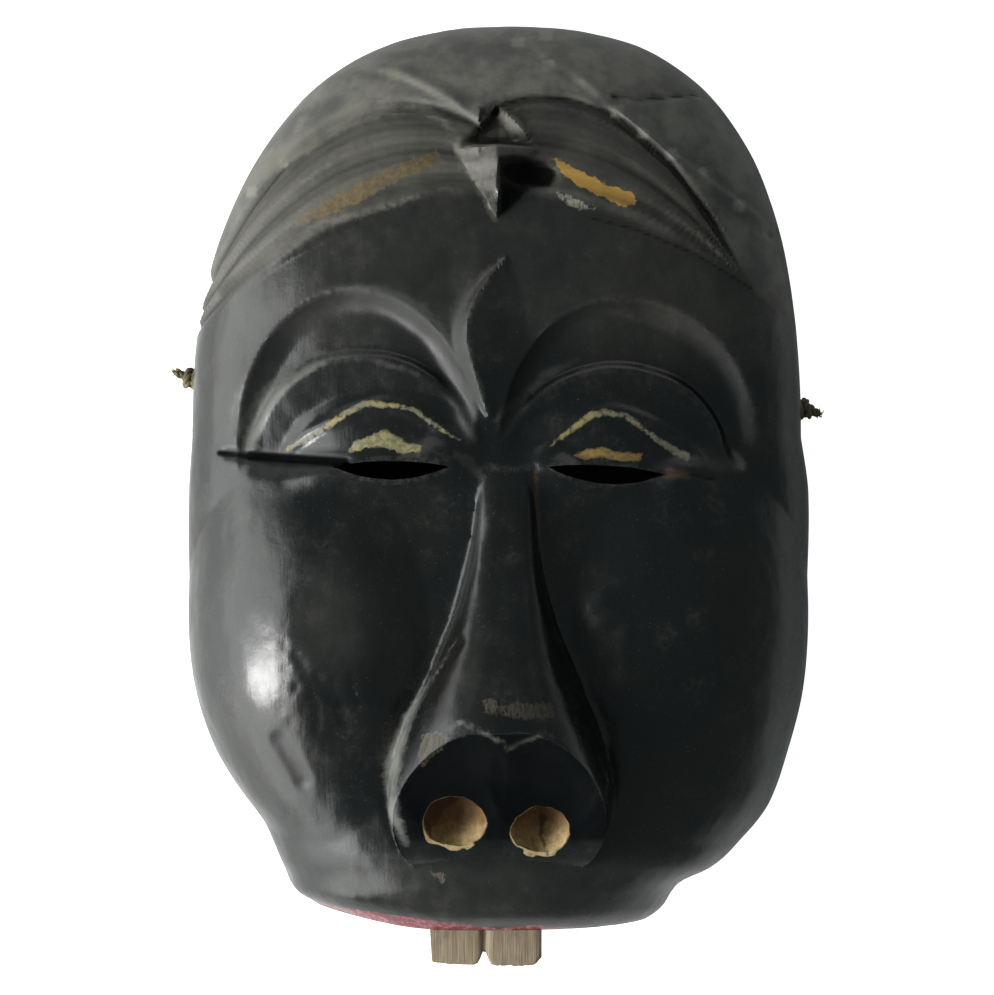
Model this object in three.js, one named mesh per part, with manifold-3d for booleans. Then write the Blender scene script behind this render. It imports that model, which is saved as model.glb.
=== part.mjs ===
// A half mask for dance drama, carved from one block of light wood and hollowed from behind, with two front
// teeth let into the back of the lip and a head cord knotted through a hole at each temple.
// Units are millimetres. The mask lies on its back rim, face up: X runs across the face, Y from the lip to the
// crown and Z out of the face. The origin is in the plane of the back rim, in the middle of the outline.
import * as THREE from "three";
import { mergeVertices } from "three/addons/utils/BufferGeometryUtils.js";
import Module from "manifold-3d";

const wasm = await Module();
wasm.setup();

// Sizes of the mask
const maskWidth = 150; // across the cheeks
const maskLength = 215.8; // from the crown to the sawn edge under the lip
const faceDepth = 58; // from the back rim to the forehead, without the nose
const sideWall = 24; // height of the upright sides before they turn on to the face
const rimThickness = 9; // wall at the back rim
const faceThickness = 10; // wall behind the face

// Sizes of the openings
const slitLength = 27;
const slitHeight = 4.4;
const slitSplay = 2.5; // how far a slit widens towards the inside, all round
const nostrilRadius = 7.2;
const nostrilDepth = 9;
const cordHoleRadius = 2;
const cordHoleHeight = 14; // above the back rim

// Sizes of the teeth
const toothReach = 9.4; // how far the teeth stand out below the lip
const toothInset = 11; // how far they are let in behind the lip
const toothWidth = 13.6;
const toothThickness = 4.5;
const toothNotch = 4.4;
const toothGap = 0.3; // between the teeth and the seat cut for them

// Sizes of the head cord
const cordDiameter = 2.6;
const knotLength = 5.4;
const knotRadius = 3.1;
const knotTail = 3.2;
const touchGap = 0.3; // left between the cord, its knots and the mask

const crownY = (maskLength + toothReach) / 2;
const lipY = crownY - maskLength;

// The carving is drawn on the carver's own grid, 150 squares wide, 215.8 long and 58 deep, with its middle
// line at 0 and the crown and the lip at the heights below. It is stretched to the size of the mask.
const stretch = { x: maskWidth / 150, y: maskLength / 215.8, z: faceDepth / 58 };
const pattern = { crown: 112.7, lip: -103.1 };
const toBlankY = (y) => lipY + (y - pattern.lip) * stretch.y;

// The sawn edge under the lip rises a little at its worn left corner.
const lipLift = { from: -14, to: -50, height: 3.4, belowY: -94 };
// The outline: a superellipse over the brow, then half widths by their share of the way down to the lip.
const dome = { startY: 13, power: 2.38, lean: 3.4, leanFrom: 32 };
const outlineBelow = {
  left: [[0, 0.991], [0.12, 1.003], [0.35, 0.997], [0.51, 0.967], [0.64, 0.903], [0.72, 0.838], [0.8, 0.758], [0.87, 0.71],
    [0.93, 0.672], [1, 0.625]],
  right: [[0, 0.989], [0.12, 1.014], [0.35, 1.004], [0.51, 0.978], [0.64, 0.94], [0.76, 0.888], [0.845, 0.785], [0.89, 0.71],
    [0.93, 0.592], [1, 0.53]],
};
// The depth of the middle line: a superellipse over the forehead, then shares of the depth by height.
const foreheadFall = { startY: 24, power: 2.5 };
const depthBelow = [[-103, 0.86], [-95, 0.96], [-84, 1.02], [-60, 1], [-30, 0.98], [5, 0.96], [24, 1]];
const sectionPower = 2.35;
const rimTaper = 0.97; // the rim is this share of the width above the upright sides

const smooth = (from, to, at) => {
  const t = Math.min(1, Math.max(0, (at - from) / (to - from)));
  return t * t * (3 - 2 * t);
};
const bell = (at, reach) => (Math.abs(at) < reach ? (1 - (at / reach) ** 2) ** 2 : 0);
const superellipse = (at, power) => Math.max(0, 1 - Math.max(0, at) ** power) ** (1 / power);

// A smooth curve through [at, value] pairs.
function curveThrough(points, at) {
  const last = points.length - 2;
  let i = points.findIndex((p, k) => k <= last && at <= points[k + 1][0]);
  if (i < 0) i = last;
  const slope = (k) => {
    const a = points[Math.max(k - 1, 0)];
    const b = points[Math.min(k + 1, points.length - 1)];
    return (b[1] - a[1]) / (b[0] - a[0]);
  };
  const [x0, y0] = points[i];
  const [x1, y1] = points[i + 1];
  const span = x1 - x0;
  const t = Math.min(1, Math.max(0, (at - x0) / span));
  const hold = t * t * (3 - 2 * t);
  return y0 * (1 - hold) + y1 * hold
    + span * (slope(i) * t * (1 - t) ** 2 - slope(i + 1) * t * t * (1 - t));
}

// Half width of the blank at height y on one side, with the skin moved in by an inset.
function halfWidth(side, y, inset) {
  const half = maskWidth / 2;
  const crown = pattern.crown - inset / stretch.y;
  if (y > dome.startY) {
    const share = (y - dome.startY) / (crown - dome.startY);
    return (half * outlineBelow[side][0][1] - inset) * superellipse(share, dome.power);
  }
  const down = (dome.startY - y) / (dome.startY - pattern.lip);
  return half * curveThrough(outlineBelow[side], Math.min(down, 1)) - inset;
}

// Depth of the middle line at height y, with the skin moved in by an inset.
function middleDepth(y, wall, inset) {
  const depth = faceDepth - inset;
  const crown = pattern.crown - inset / stretch.y;
  if (y > foreheadFall.startY) {
    const share = (y - foreheadFall.startY) / (crown - foreheadFall.startY);
    return wall + (depth - wall) * superellipse(share, foreheadFall.power);
  }
  return faceDepth * curveThrough(depthBelow, Math.max(y, pattern.lip)) - inset;
}

// A point of the plain blank in its cross-section at pattern height y. s runs from -1 at the left rim over
// the face to 1 at the right rim, and the last part at each end is the upright side.
const uprightShare = 0.12;
function blankPoint(s, y, inset, wall) {
  const side = s < 0 ? "left" : "right";
  const half = halfWidth(side, y, inset.side);
  const lean = dome.lean * stretch.x * smooth(dome.leanFrom, pattern.crown, y);
  const front = 1 - uprightShare;
  if (Math.abs(s) > front) {
    const height = (1 - Math.abs(s)) / uprightShare;
    const taper = rimTaper + (1 - rimTaper) * smooth(0, 1, height);
    return [lean + Math.sign(s) * half * taper, wall * height];
  }
  const angle = (s / front) * (Math.PI / 2);
  const across = Math.abs(Math.sin(angle));
  const out = Math.cos(angle);
  const radius = (across ** sectionPower + out ** sectionPower) ** (-1 / sectionPower);
  const depth = middleDepth(y, wall, inset.face) - wall;
  return [lean + Math.sign(s) * half * across * radius, wall + depth * out * radius];
}

// Each eye is carved under three arches: the brow, the fold of the lid and the painted edge of the lid.
// An arch has its middle x, the height of its feet, and its reach towards the nose and the temple.
const eyes = [
  {
    side: -1, x: -27, y: 8,
    brow: { x: -34, y: 10.6, inner: 29.5, outer: 27.5, height: 36, power: 2 },
    fold: { x: -32, y: 6.6, inner: 28, outer: 27.5, height: 25.5, power: 2 },
    lid: { x: -26, y: 7.6, inner: 20, outer: 25, height: 12.6, power: 1.4 },
    slit: { x: -24.5, y: 5.6, tilt: 0 },
  },
  {
    side: 1, x: 28, y: 6.5,
    brow: { x: 29, y: 10.6, inner: 28.5, outer: 33, height: 34, power: 2 },
    fold: { x: 29, y: 6.6, inner: 28, outer: 26, height: 22.5, power: 2 },
    lid: { x: 27, y: 5.6, inner: 18, outer: 22, height: 12.8, power: 1.4 },
    slit: { x: 25.5, y: 4.6, tilt: -0.06 },
  },
];

// How far a point is outside an arch, negative inside it.
function outside(arch, side, x, y) {
  const dx = x - arch.x;
  const dy = Math.max(y - arch.y, 0);
  const reach = dx * side > 0 ? arch.outer : arch.inner;
  const u = Math.abs(dx) / reach;
  const v = dy / arch.height;
  const share = (u ** arch.power + v ** arch.power) ** (1 / arch.power);
  const radius = Math.hypot(dx, dy);
  return share < 1e-3 ? -arch.height : radius - radius / share;
}

const socket = { depth: 3.6, bevel: 3.6, foot: -4, fadeFrom: 8, fold: 1.7, foldWidth: 5, templeX: 66 };
const eyeball = { height: 5.2, reachX: 25, reachY: 16, foot: -3 };
const lidEdge = { height: 0.9, width: 2.6 };
function eyeRelief(eye, x, y) {
  const present = smooth(socket.foot, socket.fadeFrom, y) * smooth(socket.templeX, socket.templeX - 8, Math.abs(x));
  const fromBrow = outside(eye.brow, eye.side, x, y);
  const fromFold = outside(eye.fold, eye.side, x, y);
  const fromLid = outside(eye.lid, eye.side, x, y);
  const hollow = -socket.depth * smooth(0, -socket.bevel, fromBrow) * present;
  const roll = socket.fold * bell(fromFold, socket.foldWidth) * present;
  const round = ((x - eye.x) / eyeball.reachX) ** 2 + ((y - eye.y) / eyeball.reachY) ** 2;
  const ball = eyeball.height * Math.max(0, 1 - round) ** 1.2 * smooth(eyeball.foot, eye.y, y);
  const edge = lidEdge.height * bell(fromLid, lidEdge.width) * present;
  return hollow + roll + ball + edge;
}

// The leaf between the brows stands up from the forehead, pointed at both ends.
const leaf = { tipY: 52.5, footY: 16.5, tipX: 0.7, footX: -4.2, halfWidth: 8.4, height: 3.4, swell: 1.3 };
function leafRelief(x, y) {
  const v = (y - leaf.footY) / (leaf.tipY - leaf.footY);
  if (v <= 0 || v >= 1) return 0;
  const middle = leaf.footX + (leaf.tipX - leaf.footX) * v ** 0.6;
  const half = leaf.halfWidth * Math.sin(Math.PI * v ** leaf.swell);
  return leaf.height * smooth(half, half * 0.45, Math.abs(x - middle)) * Math.sin(Math.PI * v) ** 0.5;
}

// Cheeks, the swelling over the lip, and the chamfer along the sawn edge.
const cheeks = [
  { x: -46, y: -37, reachX: 31, reachY: 46, height: 8.5 },
  { x: 47, y: -38, reachX: 31, reachY: 46, height: 8.5 },
];
const muzzle = { height: 2.2, topY: -80, fullY: -90, halfWidth: 44, chamfer: 2.4, chamferHeight: 4.5 };
function cheekRelief(cheek, x, y) {
  const round = ((x - cheek.x) / cheek.reachX) ** 2 + ((y - cheek.y) / cheek.reachY) ** 2;
  return cheek.height * Math.max(0, 1 - round) ** 1.3;
}
function muzzleRelief(x, y) {
  const swelling = muzzle.height * smooth(muzzle.topY, muzzle.fullY, y) * bell(x, muzzle.halfWidth);
  const edge = Math.max(0, pattern.lip + muzzle.chamferHeight - y) / muzzle.chamferHeight;
  return swelling - muzzle.chamfer * edge ** 2;
}

// The hair: a band swept from the middle to each temple, with grooved strands, under a smooth cap.
const hairline = { y: 69.6, fall: 0.006, step: 2.2, halfWidth: 74 };
const bandTop = [
  { side: -1, x: -22, y: 90.3, fall: 0.017 },
  { side: 1, x: 11, y: 91.6, fall: 0.0185 },
];
const strand = { count: 3, depth: 0.9 };
const bandGroove = { depth: 1.3, width: 3.2 };
const hairlineAt = (x) => hairline.y - hairline.fall * x * x;
function hairRelief(x, y) {
  const band = bandTop[x < -4 ? 0 : 1];
  const low = hairlineAt(x);
  const high = Math.max(low, band.y - band.fall * (x - band.x) ** 2);
  const raised = hairline.step * smooth(low - 1.6, low + 2.2, y) * smooth(hairline.halfWidth, 30, Math.abs(x));
  const share = (y - low) / Math.max(high - low, 1e-3);
  const strands = share > 0 && share < 1 ? strand.depth * Math.sin(Math.PI * share * strand.count) ** 2 : 0;
  const open = smooth(0, 8, high - low);
  return raised - strands * open - bandGroove.depth * bell(y - high, bandGroove.width) * open;
}

// The peak in the middle of the hair: a three-sided point under a small hollow, with a ledge between them.
const peak = { x: 0, tipY: 63.5, ledgeY: 79.5, topY: 90, halfWidth: 10, height: 6, hollow: 2.4, edge: 1.6 };
function peakRelief(x, y) {
  const offset = Math.abs(x - peak.x);
  const up = (y - peak.tipY) / (peak.ledgeY - peak.tipY);
  const wide = peak.halfWidth * Math.min(1, Math.max(0, up));
  const cut = smooth(peak.ledgeY + peak.edge, peak.ledgeY, y);
  const point = up > 0 ? peak.height * Math.max(0, 1 - offset / Math.max(wide, 1e-3)) ** 0.8 * cut : 0;
  const over = (peak.topY - y) / (peak.topY - peak.ledgeY);
  const room = smooth(1, 0.4, offset / Math.max(peak.halfWidth * over, 1e-3));
  const hollow = over > 0 && over < 1.1 ? peak.hollow * room * smooth(peak.ledgeY, peak.ledgeY + peak.edge, y) : 0;
  return point - hollow;
}

// The seam of the cap, from the crown down to the right temple and from the peak up to the left.
const capSeams = [
  { points: [[4, 108.5], [19, 97.5], [37, 80.5], [66, 61.5]], width: 3.8, height: 1.1 },
  { points: [[-32, 102], [-23, 100], [-16, 96.5], [-6, 90.5]], width: 3.6, height: 1.1 },
];
function seamRelief(seam, x, y) {
  const first = seam.points[0][0];
  const last = seam.points[seam.points.length - 1][0];
  if (x < first || x > last) return 0;
  const fade = smooth(first, first + 6, x) * smooth(last, last - 4, x);
  return seam.height * bell(y - curveThrough(seam.points, x), seam.width) * fade;
}

// All the carving at one place of the pattern, as a height above the plain blank.
function carving(x, y) {
  return eyes.reduce((sum, eye) => sum + eyeRelief(eye, x, y), 0)
    + cheeks.reduce((sum, cheek) => sum + cheekRelief(cheek, x, y), 0)
    + capSeams.reduce((sum, seam) => sum + seamRelief(seam, x, y), 0)
    + leafRelief(x, y) + muzzleRelief(x, y) + hairRelief(x, y) + peakRelief(x, y);
}

// Places from one value to another, closer together where the weight is greater.
function spread(from, to, count, weight) {
  const fine = 400;
  const sums = [0];
  for (let i = 1; i <= fine; i += 1) sums.push(sums[i - 1] + weight(from + ((to - from) * (i - 0.5)) / fine));
  return Array.from({ length: count + 1 }, (_, k) => {
    const wanted = (sums[fine] * k) / count;
    const i = Math.max(0, sums.findIndex((sum) => sum >= wanted - 1e-9) - 1);
    return from + ((to - from) * (i + (wanted - sums[i]) / (sums[i + 1] - sums[i]))) / fine;
  });
}

// A closed solid from rows of points: a skin, a flat base between the rims and a flat end at each end. Each
// four-cornered patch of the skin is folded along the diagonal that passes nearer to the point in its middle.
function solidFromRows(rows, middles) {
  const columns = rows[0].length - 1;
  const triangles = [];
  const quad = (a, b, c, d, middle) => {
    const miss = (p, q) => Math.hypot(...middle.map((value, k) => (p[k] + q[k]) / 2 - value));
    if (middle && miss(b, d) < miss(a, c)) triangles.push(a, b, d, b, c, d);
    else triangles.push(a, b, c, a, c, d);
  };
  for (let j = 0; j + 1 < rows.length; j += 1) {
    for (let i = 0; i < columns; i += 1) {
      quad(rows[j][i], rows[j + 1][i], rows[j + 1][i + 1], rows[j][i + 1], middles && middles[j][i]);
    }
    quad(rows[j][0], rows[j][columns], rows[j + 1][columns], rows[j + 1][0]);
  }
  const end = (row, flip) => {
    for (let i = 0; i < columns - 1 - i; i += 1) {
      const ring = [row[i], row[i + 1], row[columns - 1 - i], row[columns - i]];
      quad(...(flip ? ring.reverse() : ring));
    }
  };
  end(rows[0], false);
  end(rows[rows.length - 1], true);
  const geometry = new THREE.BufferGeometry();
  geometry.setAttribute("position", new THREE.Float32BufferAttribute(triangles.flat(), 3));
  return toSolid(geometry);
}

// Between three.js geometry and a solid that can be joined and cut.
function toSolid(geometry, matrix = new THREE.Matrix4()) {
  const bare = geometry.clone().applyMatrix4(matrix);
  bare.deleteAttribute("normal");
  bare.deleteAttribute("uv");
  const merged = mergeVertices(bare, 1e-4);
  return new wasm.Manifold(new wasm.Mesh({
    numProp: 3,
    vertProperties: merged.attributes.position.array,
    triVerts: new Uint32Array(merged.index.array),
  }));
}
function toGeometry(solid) {
  const mesh = solid.getMesh();
  const geometry = new THREE.BufferGeometry();
  geometry.setAttribute("position", new THREE.BufferAttribute(new Float32Array(mesh.vertProperties), 3));
  geometry.setIndex(new THREE.BufferAttribute(new Uint32Array(mesh.triVerts), 1));
  geometry.computeVertexNormals();
  return geometry;
}

// The outer form: the blank with its carving, which fades out down the upright sides.
const skinColumns = 56;
const skinRows = 48;
const noInset = { side: 0, face: 0 };
function carvedPoint(s, y) {
  const step = 1e-3;
  const [x, z] = blankPoint(s, y, noInset, sideWall);
  const before = blankPoint(Math.max(s - step, -1), y, noInset, sideWall);
  const after = blankPoint(Math.min(s + step, 1), y, noInset, sideWall);
  const along = Math.hypot(after[0] - before[0], after[1] - before[1]);
  const height = carving(x / stretch.x, y) * stretch.z * smooth(0, sideWall * 0.8, z);
  const lift = lipLift.height * smooth(lipLift.from, lipLift.to, x / stretch.x) * smooth(lipLift.belowY, pattern.lip, y);
  return [
    x - (height * (after[1] - before[1])) / along,
    toBlankY(y + lift),
    z + (height * (after[0] - before[0])) / along,
  ];
}
function outerForm() {
  const columns = spread(-1, 1, skinColumns, (s) => 1 + 0.9 * Math.exp(-((s / 0.4) ** 2)));
  const rows = spread(pattern.crown - 0.1, pattern.lip, skinRows, (y) => 1
    + Math.exp(-(((y - 25) / 26) ** 2)) + 0.8 * Math.exp(-(((y + 94) / 9) ** 2))
    + 0.8 * Math.exp(-(((y - 80) / 14) ** 2)) + 3 * Math.exp(-(pattern.crown - y) / 5));
  const points = rows.map((y) => columns.map((s) => carvedPoint(s, y)));
  const middles = rows.slice(1).map((y, j) => columns.slice(1)
    .map((s, i) => carvedPoint((s + columns[i]) / 2, (y + rows[j]) / 2)));
  return solidFromRows(points, middles);
}

// The nose is a form of its own on the blank: it widens from the bridge to the tip, and a slanting cut under
// the tip makes the underside. Ridge is the height above the middle line of the blank.
const nose = {
  ridge: [[-90, 36], [-72, 31], [-60, 27.2], [-50, 23.4], [-38, 17.3], [-25, 11.2], [-12, 6.2], [0, 2.4], [10, -2], [20, -5]],
  half: [[-90, 17], [-84, 22.5], [-77, 25.6], [-68, 26.2], [-60, 24.6], [-52, 21.6], [-42, 17], [-32, 12.8], [-22, 9.8], [-10, 7.8], [20, 6.4]],
  topY: 20, footY: -90, bridgeX: 2.6, tipX: 0.2, root: 6, power: 2.15, rows: 22, columns: 16,
};
const underside = { footY: -87, slope: 0.72 };
function noseForm() {
  const rows = spread(nose.topY, nose.footY, nose.rows, () => 1);
  const columns = spread(-1, 1, nose.columns, () => 1);
  const bulk = solidFromRows(rows.map((y) => columns.map((s) => {
    const angle = (s * Math.PI) / 2;
    const across = Math.abs(Math.sin(angle));
    const out = Math.cos(angle);
    const radius = (across ** nose.power + out ** nose.power) ** (-1 / nose.power);
    const down = (nose.topY - y) / (nose.topY - nose.footY);
    const middle = nose.bridgeX + (nose.tipX - nose.bridgeX) * down;
    const low = middleDepth(y, sideWall, 0) - nose.root * stretch.z;
    const high = (curveThrough(nose.ridge, y) + nose.root) * stretch.z;
    const x = middle + Math.sign(s) * curveThrough(nose.half, y) * across * radius;
    return [x * stretch.x, toBlankY(y), low + high * out * radius];
  })));
  const slant = Math.atan((underside.slope * stretch.z) / stretch.y);
  const size = 2 * maskWidth;
  const foot = new THREE.Vector3(0, toBlankY(underside.footY), middleDepth(underside.footY, sideWall, 0));
  const turn = new THREE.Matrix4().makeTranslation(foot).multiply(new THREE.Matrix4().makeRotationX(slant));
  const above = new THREE.BoxGeometry(size, size, size).translate(0, 0, size / 2);
  return bulk.subtract(toSolid(above, turn));
}

// The hollow: the blank moved in by the wall, open at the back rim and under the lip, deeper behind the nose.
const hollowColumns = 26;
const hollowRows = 22;
const hollowSwell = { x: 0, y: -50, reachX: 17, reachY: 30, height: 13, cheeks: 0.55 };
const cutOver = 2; // how far a cutting form runs past the surface that it opens
function hollowForm() {
  const inset = { side: rimThickness, face: faceThickness };
  const columns = spread(-1, 1, hollowColumns, () => 1);
  const topY = pattern.crown - rimThickness / stretch.y - 0.1;
  const rows = spread(topY, pattern.lip, hollowRows, (y) => 1 + 3 * Math.exp(-(topY - y) / 6));
  const swelling = (x, y) => {
    const round = ((x - hollowSwell.x) / hollowSwell.reachX) ** 2 + ((y - hollowSwell.y) / hollowSwell.reachY) ** 2;
    return hollowSwell.height * Math.max(0, 1 - round) ** 1.3
      + cheeks.reduce((sum, cheek) => sum + hollowSwell.cheeks * cheekRelief(cheek, x, y), 0);
  };
  const section = (y, atY) => columns.map((s) => {
    const [x, z] = blankPoint(s, y, inset, sideWall);
    return [x, atY, z + swelling(x / stretch.x, y) * stretch.z * smooth(sideWall, sideWall * 1.4, z)];
  });
  const inside = rows.map((y) => section(y, toBlankY(y)));
  inside.push(section(pattern.lip, lipY - cutOver));
  const opened = inside.map((row) => {
    const first = [row[0][0], row[0][1], -cutOver];
    const last = [row[row.length - 1][0], row[0][1], -cutOver];
    return [first, ...row, last];
  });
  return solidFromRows(opened);
}

// A slit for the wearer's eyes, straighter above than below, and wider from half way through the wall.
function slitForm(slit) {
  const outline = (grow, z) => {
    const half = slitLength / 2 + grow;
    const shape = new THREE.Shape();
    shape.moveTo(-half, 0);
    shape.quadraticCurveTo(0, -slitHeight * 1.4 - grow * 2, half, 0);
    shape.quadraticCurveTo(0, slitHeight * 0.6 + grow * 2, -half, 0);
    return shape.getPoints(7).slice(0, -1).map((p) => [p.x, p.y, z]);
  };
  const over = 6 * cutOver;
  const levels = [
    outline(0, faceDepth + over),
    outline(0, faceDepth - faceThickness * 0.6),
    outline(slitSplay, faceDepth - faceThickness - over),
  ];
  const turn = new THREE.Matrix4().makeRotationZ(slit.tilt)
    .setPosition(slit.x * stretch.x, toBlankY(slit.y), 0);
  return toSolid(loft(levels), turn);
}

// A closed geometry through outlines of as many points, listed from the top down and drawn
// anticlockwise as seen from the top.
function loft(levels) {
  const triangles = [];
  const count = levels[0].length;
  const caps = THREE.ShapeUtils.triangulateShape(levels[0].map((p) => new THREE.Vector2(p[0], p[1])), []);
  const bottom = levels[levels.length - 1];
  caps.forEach(([a, b, c]) => {
    triangles.push(levels[0][a], levels[0][b], levels[0][c], bottom[a], bottom[c], bottom[b]);
  });
  for (let k = 0; k + 1 < levels.length; k += 1) {
    for (let i = 0; i < count; i += 1) {
      const next = (i + 1) % count;
      triangles.push(levels[k + 1][i], levels[k + 1][next], levels[k][next]);
      triangles.push(levels[k + 1][i], levels[k][next], levels[k][i]);
    }
  }
  const geometry = new THREE.BufferGeometry();
  geometry.setAttribute("position", new THREE.Float32BufferAttribute(triangles.flat(), 3));
  return geometry;
}

// A nostril: a round-bottomed pit bored into the underside of the nose.
const nostrils = [
  { x: -9.6, y: -75.6, size: 1 },
  { x: 10, y: -77.6, size: 0.92 },
];
const nostrilLean = 0.45;
function nostrilForm(nostril) {
  const radius = nostrilRadius * nostril.size;
  const profile = [new THREE.Vector2(0, -nostrilDepth)];
  for (let k = 1; k <= 5; k += 1) {
    const angle = (k / 5) * (Math.PI / 2);
    profile.push(new THREE.Vector2(radius * Math.sin(angle), -nostrilDepth * Math.cos(angle)));
  }
  profile.push(new THREE.Vector2(radius * 1.15, nostrilDepth * 1.5), new THREE.Vector2(0, nostrilDepth * 1.5));
  const mouth = middleDepth(underside.footY, sideWall, 0)
    + underside.slope * (nostril.y - underside.footY) * stretch.z;
  const turn = new THREE.Matrix4().makeRotationX(Math.PI / 2 + nostrilLean)
    .setPosition(nostril.x * stretch.x, toBlankY(nostril.y), mouth);
  return toSolid(new THREE.LatheGeometry(profile, 20), turn);
}

// The hole for the head cord through each temple, level with the eyes.
const cordHoles = [
  { side: "left", sign: -1, y: 28 },
  { side: "right", sign: 1, y: 20.5 },
];
const wallOutsideX = (hole) => {
  const share = 1 - (uprightShare * cordHoleHeight) / sideWall;
  return blankPoint(hole.sign * share, hole.y, noInset, sideWall)[0];
};
function cordHoleForm(hole) {
  const length = rimThickness * 2 + 2 * cutOver;
  const turn = new THREE.Matrix4().makeRotationZ(Math.PI / 2)
    .setPosition(wallOutsideX(hole), toBlankY(hole.y), cordHoleHeight);
  return toSolid(new THREE.CylinderGeometry(cordHoleRadius, cordHoleRadius, length, 12), turn);
}

// The two front teeth are one slip of wood with a notch and a groove between them. It stands in a seat cut
// into the back of the lip, flush with the hollow.
const teethX = -3;
const toothTaper = 1.2;
const lipCover = 7.4; // wood left in front of the teeth
const teethFrontZ = middleDepth(pattern.lip, sideWall, 0) + muzzle.height * stretch.z - lipCover;
function teethOutline(grow) {
  const half = toothWidth + grow;
  const low = lipY - toothReach - grow;
  const shape = new THREE.Shape();
  const corner = 2.4;
  shape.moveTo(-half, lipY + toothInset + grow);
  shape.lineTo(-half + toothTaper, low + 0.6);
  shape.lineTo(-toothNotch / 2, low);
  shape.quadraticCurveTo(0, low + toothNotch * 1.9, toothNotch / 2, low);
  shape.lineTo(half - corner, low);
  shape.quadraticCurveTo(half, low, half, low + corner);
  shape.lineTo(half, lipY + toothInset + grow);
  return shape;
}
function teethGeometry() {
  const slip = new THREE.ExtrudeGeometry(teethOutline(0), { depth: toothThickness, bevelEnabled: false, curveSegments: 4 });
  const place = new THREE.Matrix4().makeTranslation(teethX * stretch.x, 0, teethFrontZ - toothThickness);
  const grooveWidth = 1.2;
  const groove = new THREE.CylinderGeometry(grooveWidth, grooveWidth, toothReach + toothInset + 2 * cutOver, 4);
  const grooveAt = new THREE.Matrix4()
    .makeTranslation(teethX * stretch.x, lipY + (toothInset - toothReach) / 2, teethFrontZ + grooveWidth * 0.3);
  return toGeometry(toSolid(slip, place).subtract(toSolid(groove, grooveAt)));
}
function teethSeat() {
  const width = 2 * (toothWidth + toothGap);
  const height = toothInset + toothGap + cutOver;
  const depth = toothThickness + toothGap + faceThickness;
  const place = new THREE.Matrix4().makeTranslation(
    teethX * stretch.x,
    lipY + toothInset + toothGap - height / 2,
    teethFrontZ + toothGap - depth / 2,
  );
  return toSolid(new THREE.BoxGeometry(width, height, depth), place);
}

function maskGeometry() {
  let solid = outerForm().add(noseForm()).subtract(hollowForm());
  eyes.forEach((eye) => {
    solid = solid.subtract(slitForm(eye.slit));
  });
  nostrils.forEach((nostril) => {
    solid = solid.subtract(nostrilForm(nostril));
  });
  cordHoles.forEach((hole) => {
    solid = solid.subtract(cordHoleForm(hole));
  });
  return toGeometry(solid.subtract(teethSeat()));
}

// The head cord: from the knot at the left temple through its hole, down to the surface that the mask lies
// on, in loose bends across the hollow, and up again through the right hole.
const cordRadius = cordDiameter / 2;
const cordRoute = [
  [-59.5, 27.6, 12.2], [-56.5, 26, 8], [-54.5, 22.5, 3.6], [-53.5, 16, 1.6], [-53, 6, 1.5], [-51.5, -8, 1.5],
  [-49.5, -22, 1.5], [-46, -36, 1.5], [-40, -49, 1.5], [-31, -57.5, 1.5], [-20.5, -57, 1.5], [-14, -48, 1.5],
  [-10.5, -36, 1.5], [-5, -25, 1.5], [4, -20.5, 1.5], [12, -26, 1.5], [16, -37, 1.5], [19, -49, 1.5],
  [25, -58.5, 1.5], [34, -60, 1.5], [41, -52, 1.5], [45.5, -39, 1.5], [49, -24, 1.5], [51.5, -9, 1.5],
  [53, 3, 1.5], [54.5, 11, 1.6], [55.5, 16, 3.6], [57.5, 19.3, 8], [60, 20.4, 12.2],
];
function cordGeometry() {
  const end = (hole) => {
    const outside = wallOutsideX(hole);
    const y = toBlankY(hole.y);
    const from = outside - hole.sign * touchGap;
    const to = outside - hole.sign * (rimThickness + cordDiameter);
    return [new THREE.Vector3(from, y, cordHoleHeight), new THREE.Vector3(to, y, cordHoleHeight)];
  };
  const route = cordRoute.map(([x, y, z]) => new THREE.Vector3(x * stretch.x, toBlankY(y), z));
  const path = new THREE.CatmullRomCurve3([...end(cordHoles[0]), ...route, ...end(cordHoles[1]).reverse()]);
  const section = new THREE.Shape();
  const sides = 8;
  for (let k = 0; k < sides; k += 1) {
    const angle = (2 * Math.PI * k) / sides;
    section[k ? "lineTo" : "moveTo"](cordRadius * Math.cos(angle), cordRadius * Math.sin(angle));
  }
  return toGeometry(toSolid(new THREE.ExtrudeGeometry(section, { steps: 56, extrudePath: path })));
}

// A knot outside each temple: a round lump with the cut end of the cord standing out of it.
function knotGeometry(hole) {
  const profile = [new THREE.Vector2(0, 0)];
  const rings = 5;
  for (let k = 0; k <= rings; k += 1) {
    const angle = (Math.PI * (k + 0.5)) / (rings + 1);
    profile.push(new THREE.Vector2(knotRadius * Math.sin(angle) ** 0.7, (knotLength * (1 - Math.cos(angle))) / 2));
  }
  profile.push(new THREE.Vector2(0, knotLength));
  const lump = toSolid(new THREE.LatheGeometry(profile, 10));
  const tail = new THREE.CylinderGeometry(cordRadius * 0.7, cordRadius, knotTail * 2, 7);
  const tailAt = new THREE.Matrix4().makeRotationZ(0.5).setPosition(-knotRadius * 0.4, knotLength * 0.8, 0);
  return toGeometry(lump.add(toSolid(tail, tailAt)));
}

const paintedWood = new THREE.MeshStandardMaterial({ color: 0x1b1e1f, roughness: 0.42, metalness: 0 });
const bareWood = new THREE.MeshStandardMaterial({ color: 0x9a8a72, roughness: 0.75, metalness: 0 });
const cordFibre = new THREE.MeshStandardMaterial({ color: 0x6e6442, roughness: 0.95, metalness: 0 });

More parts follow.
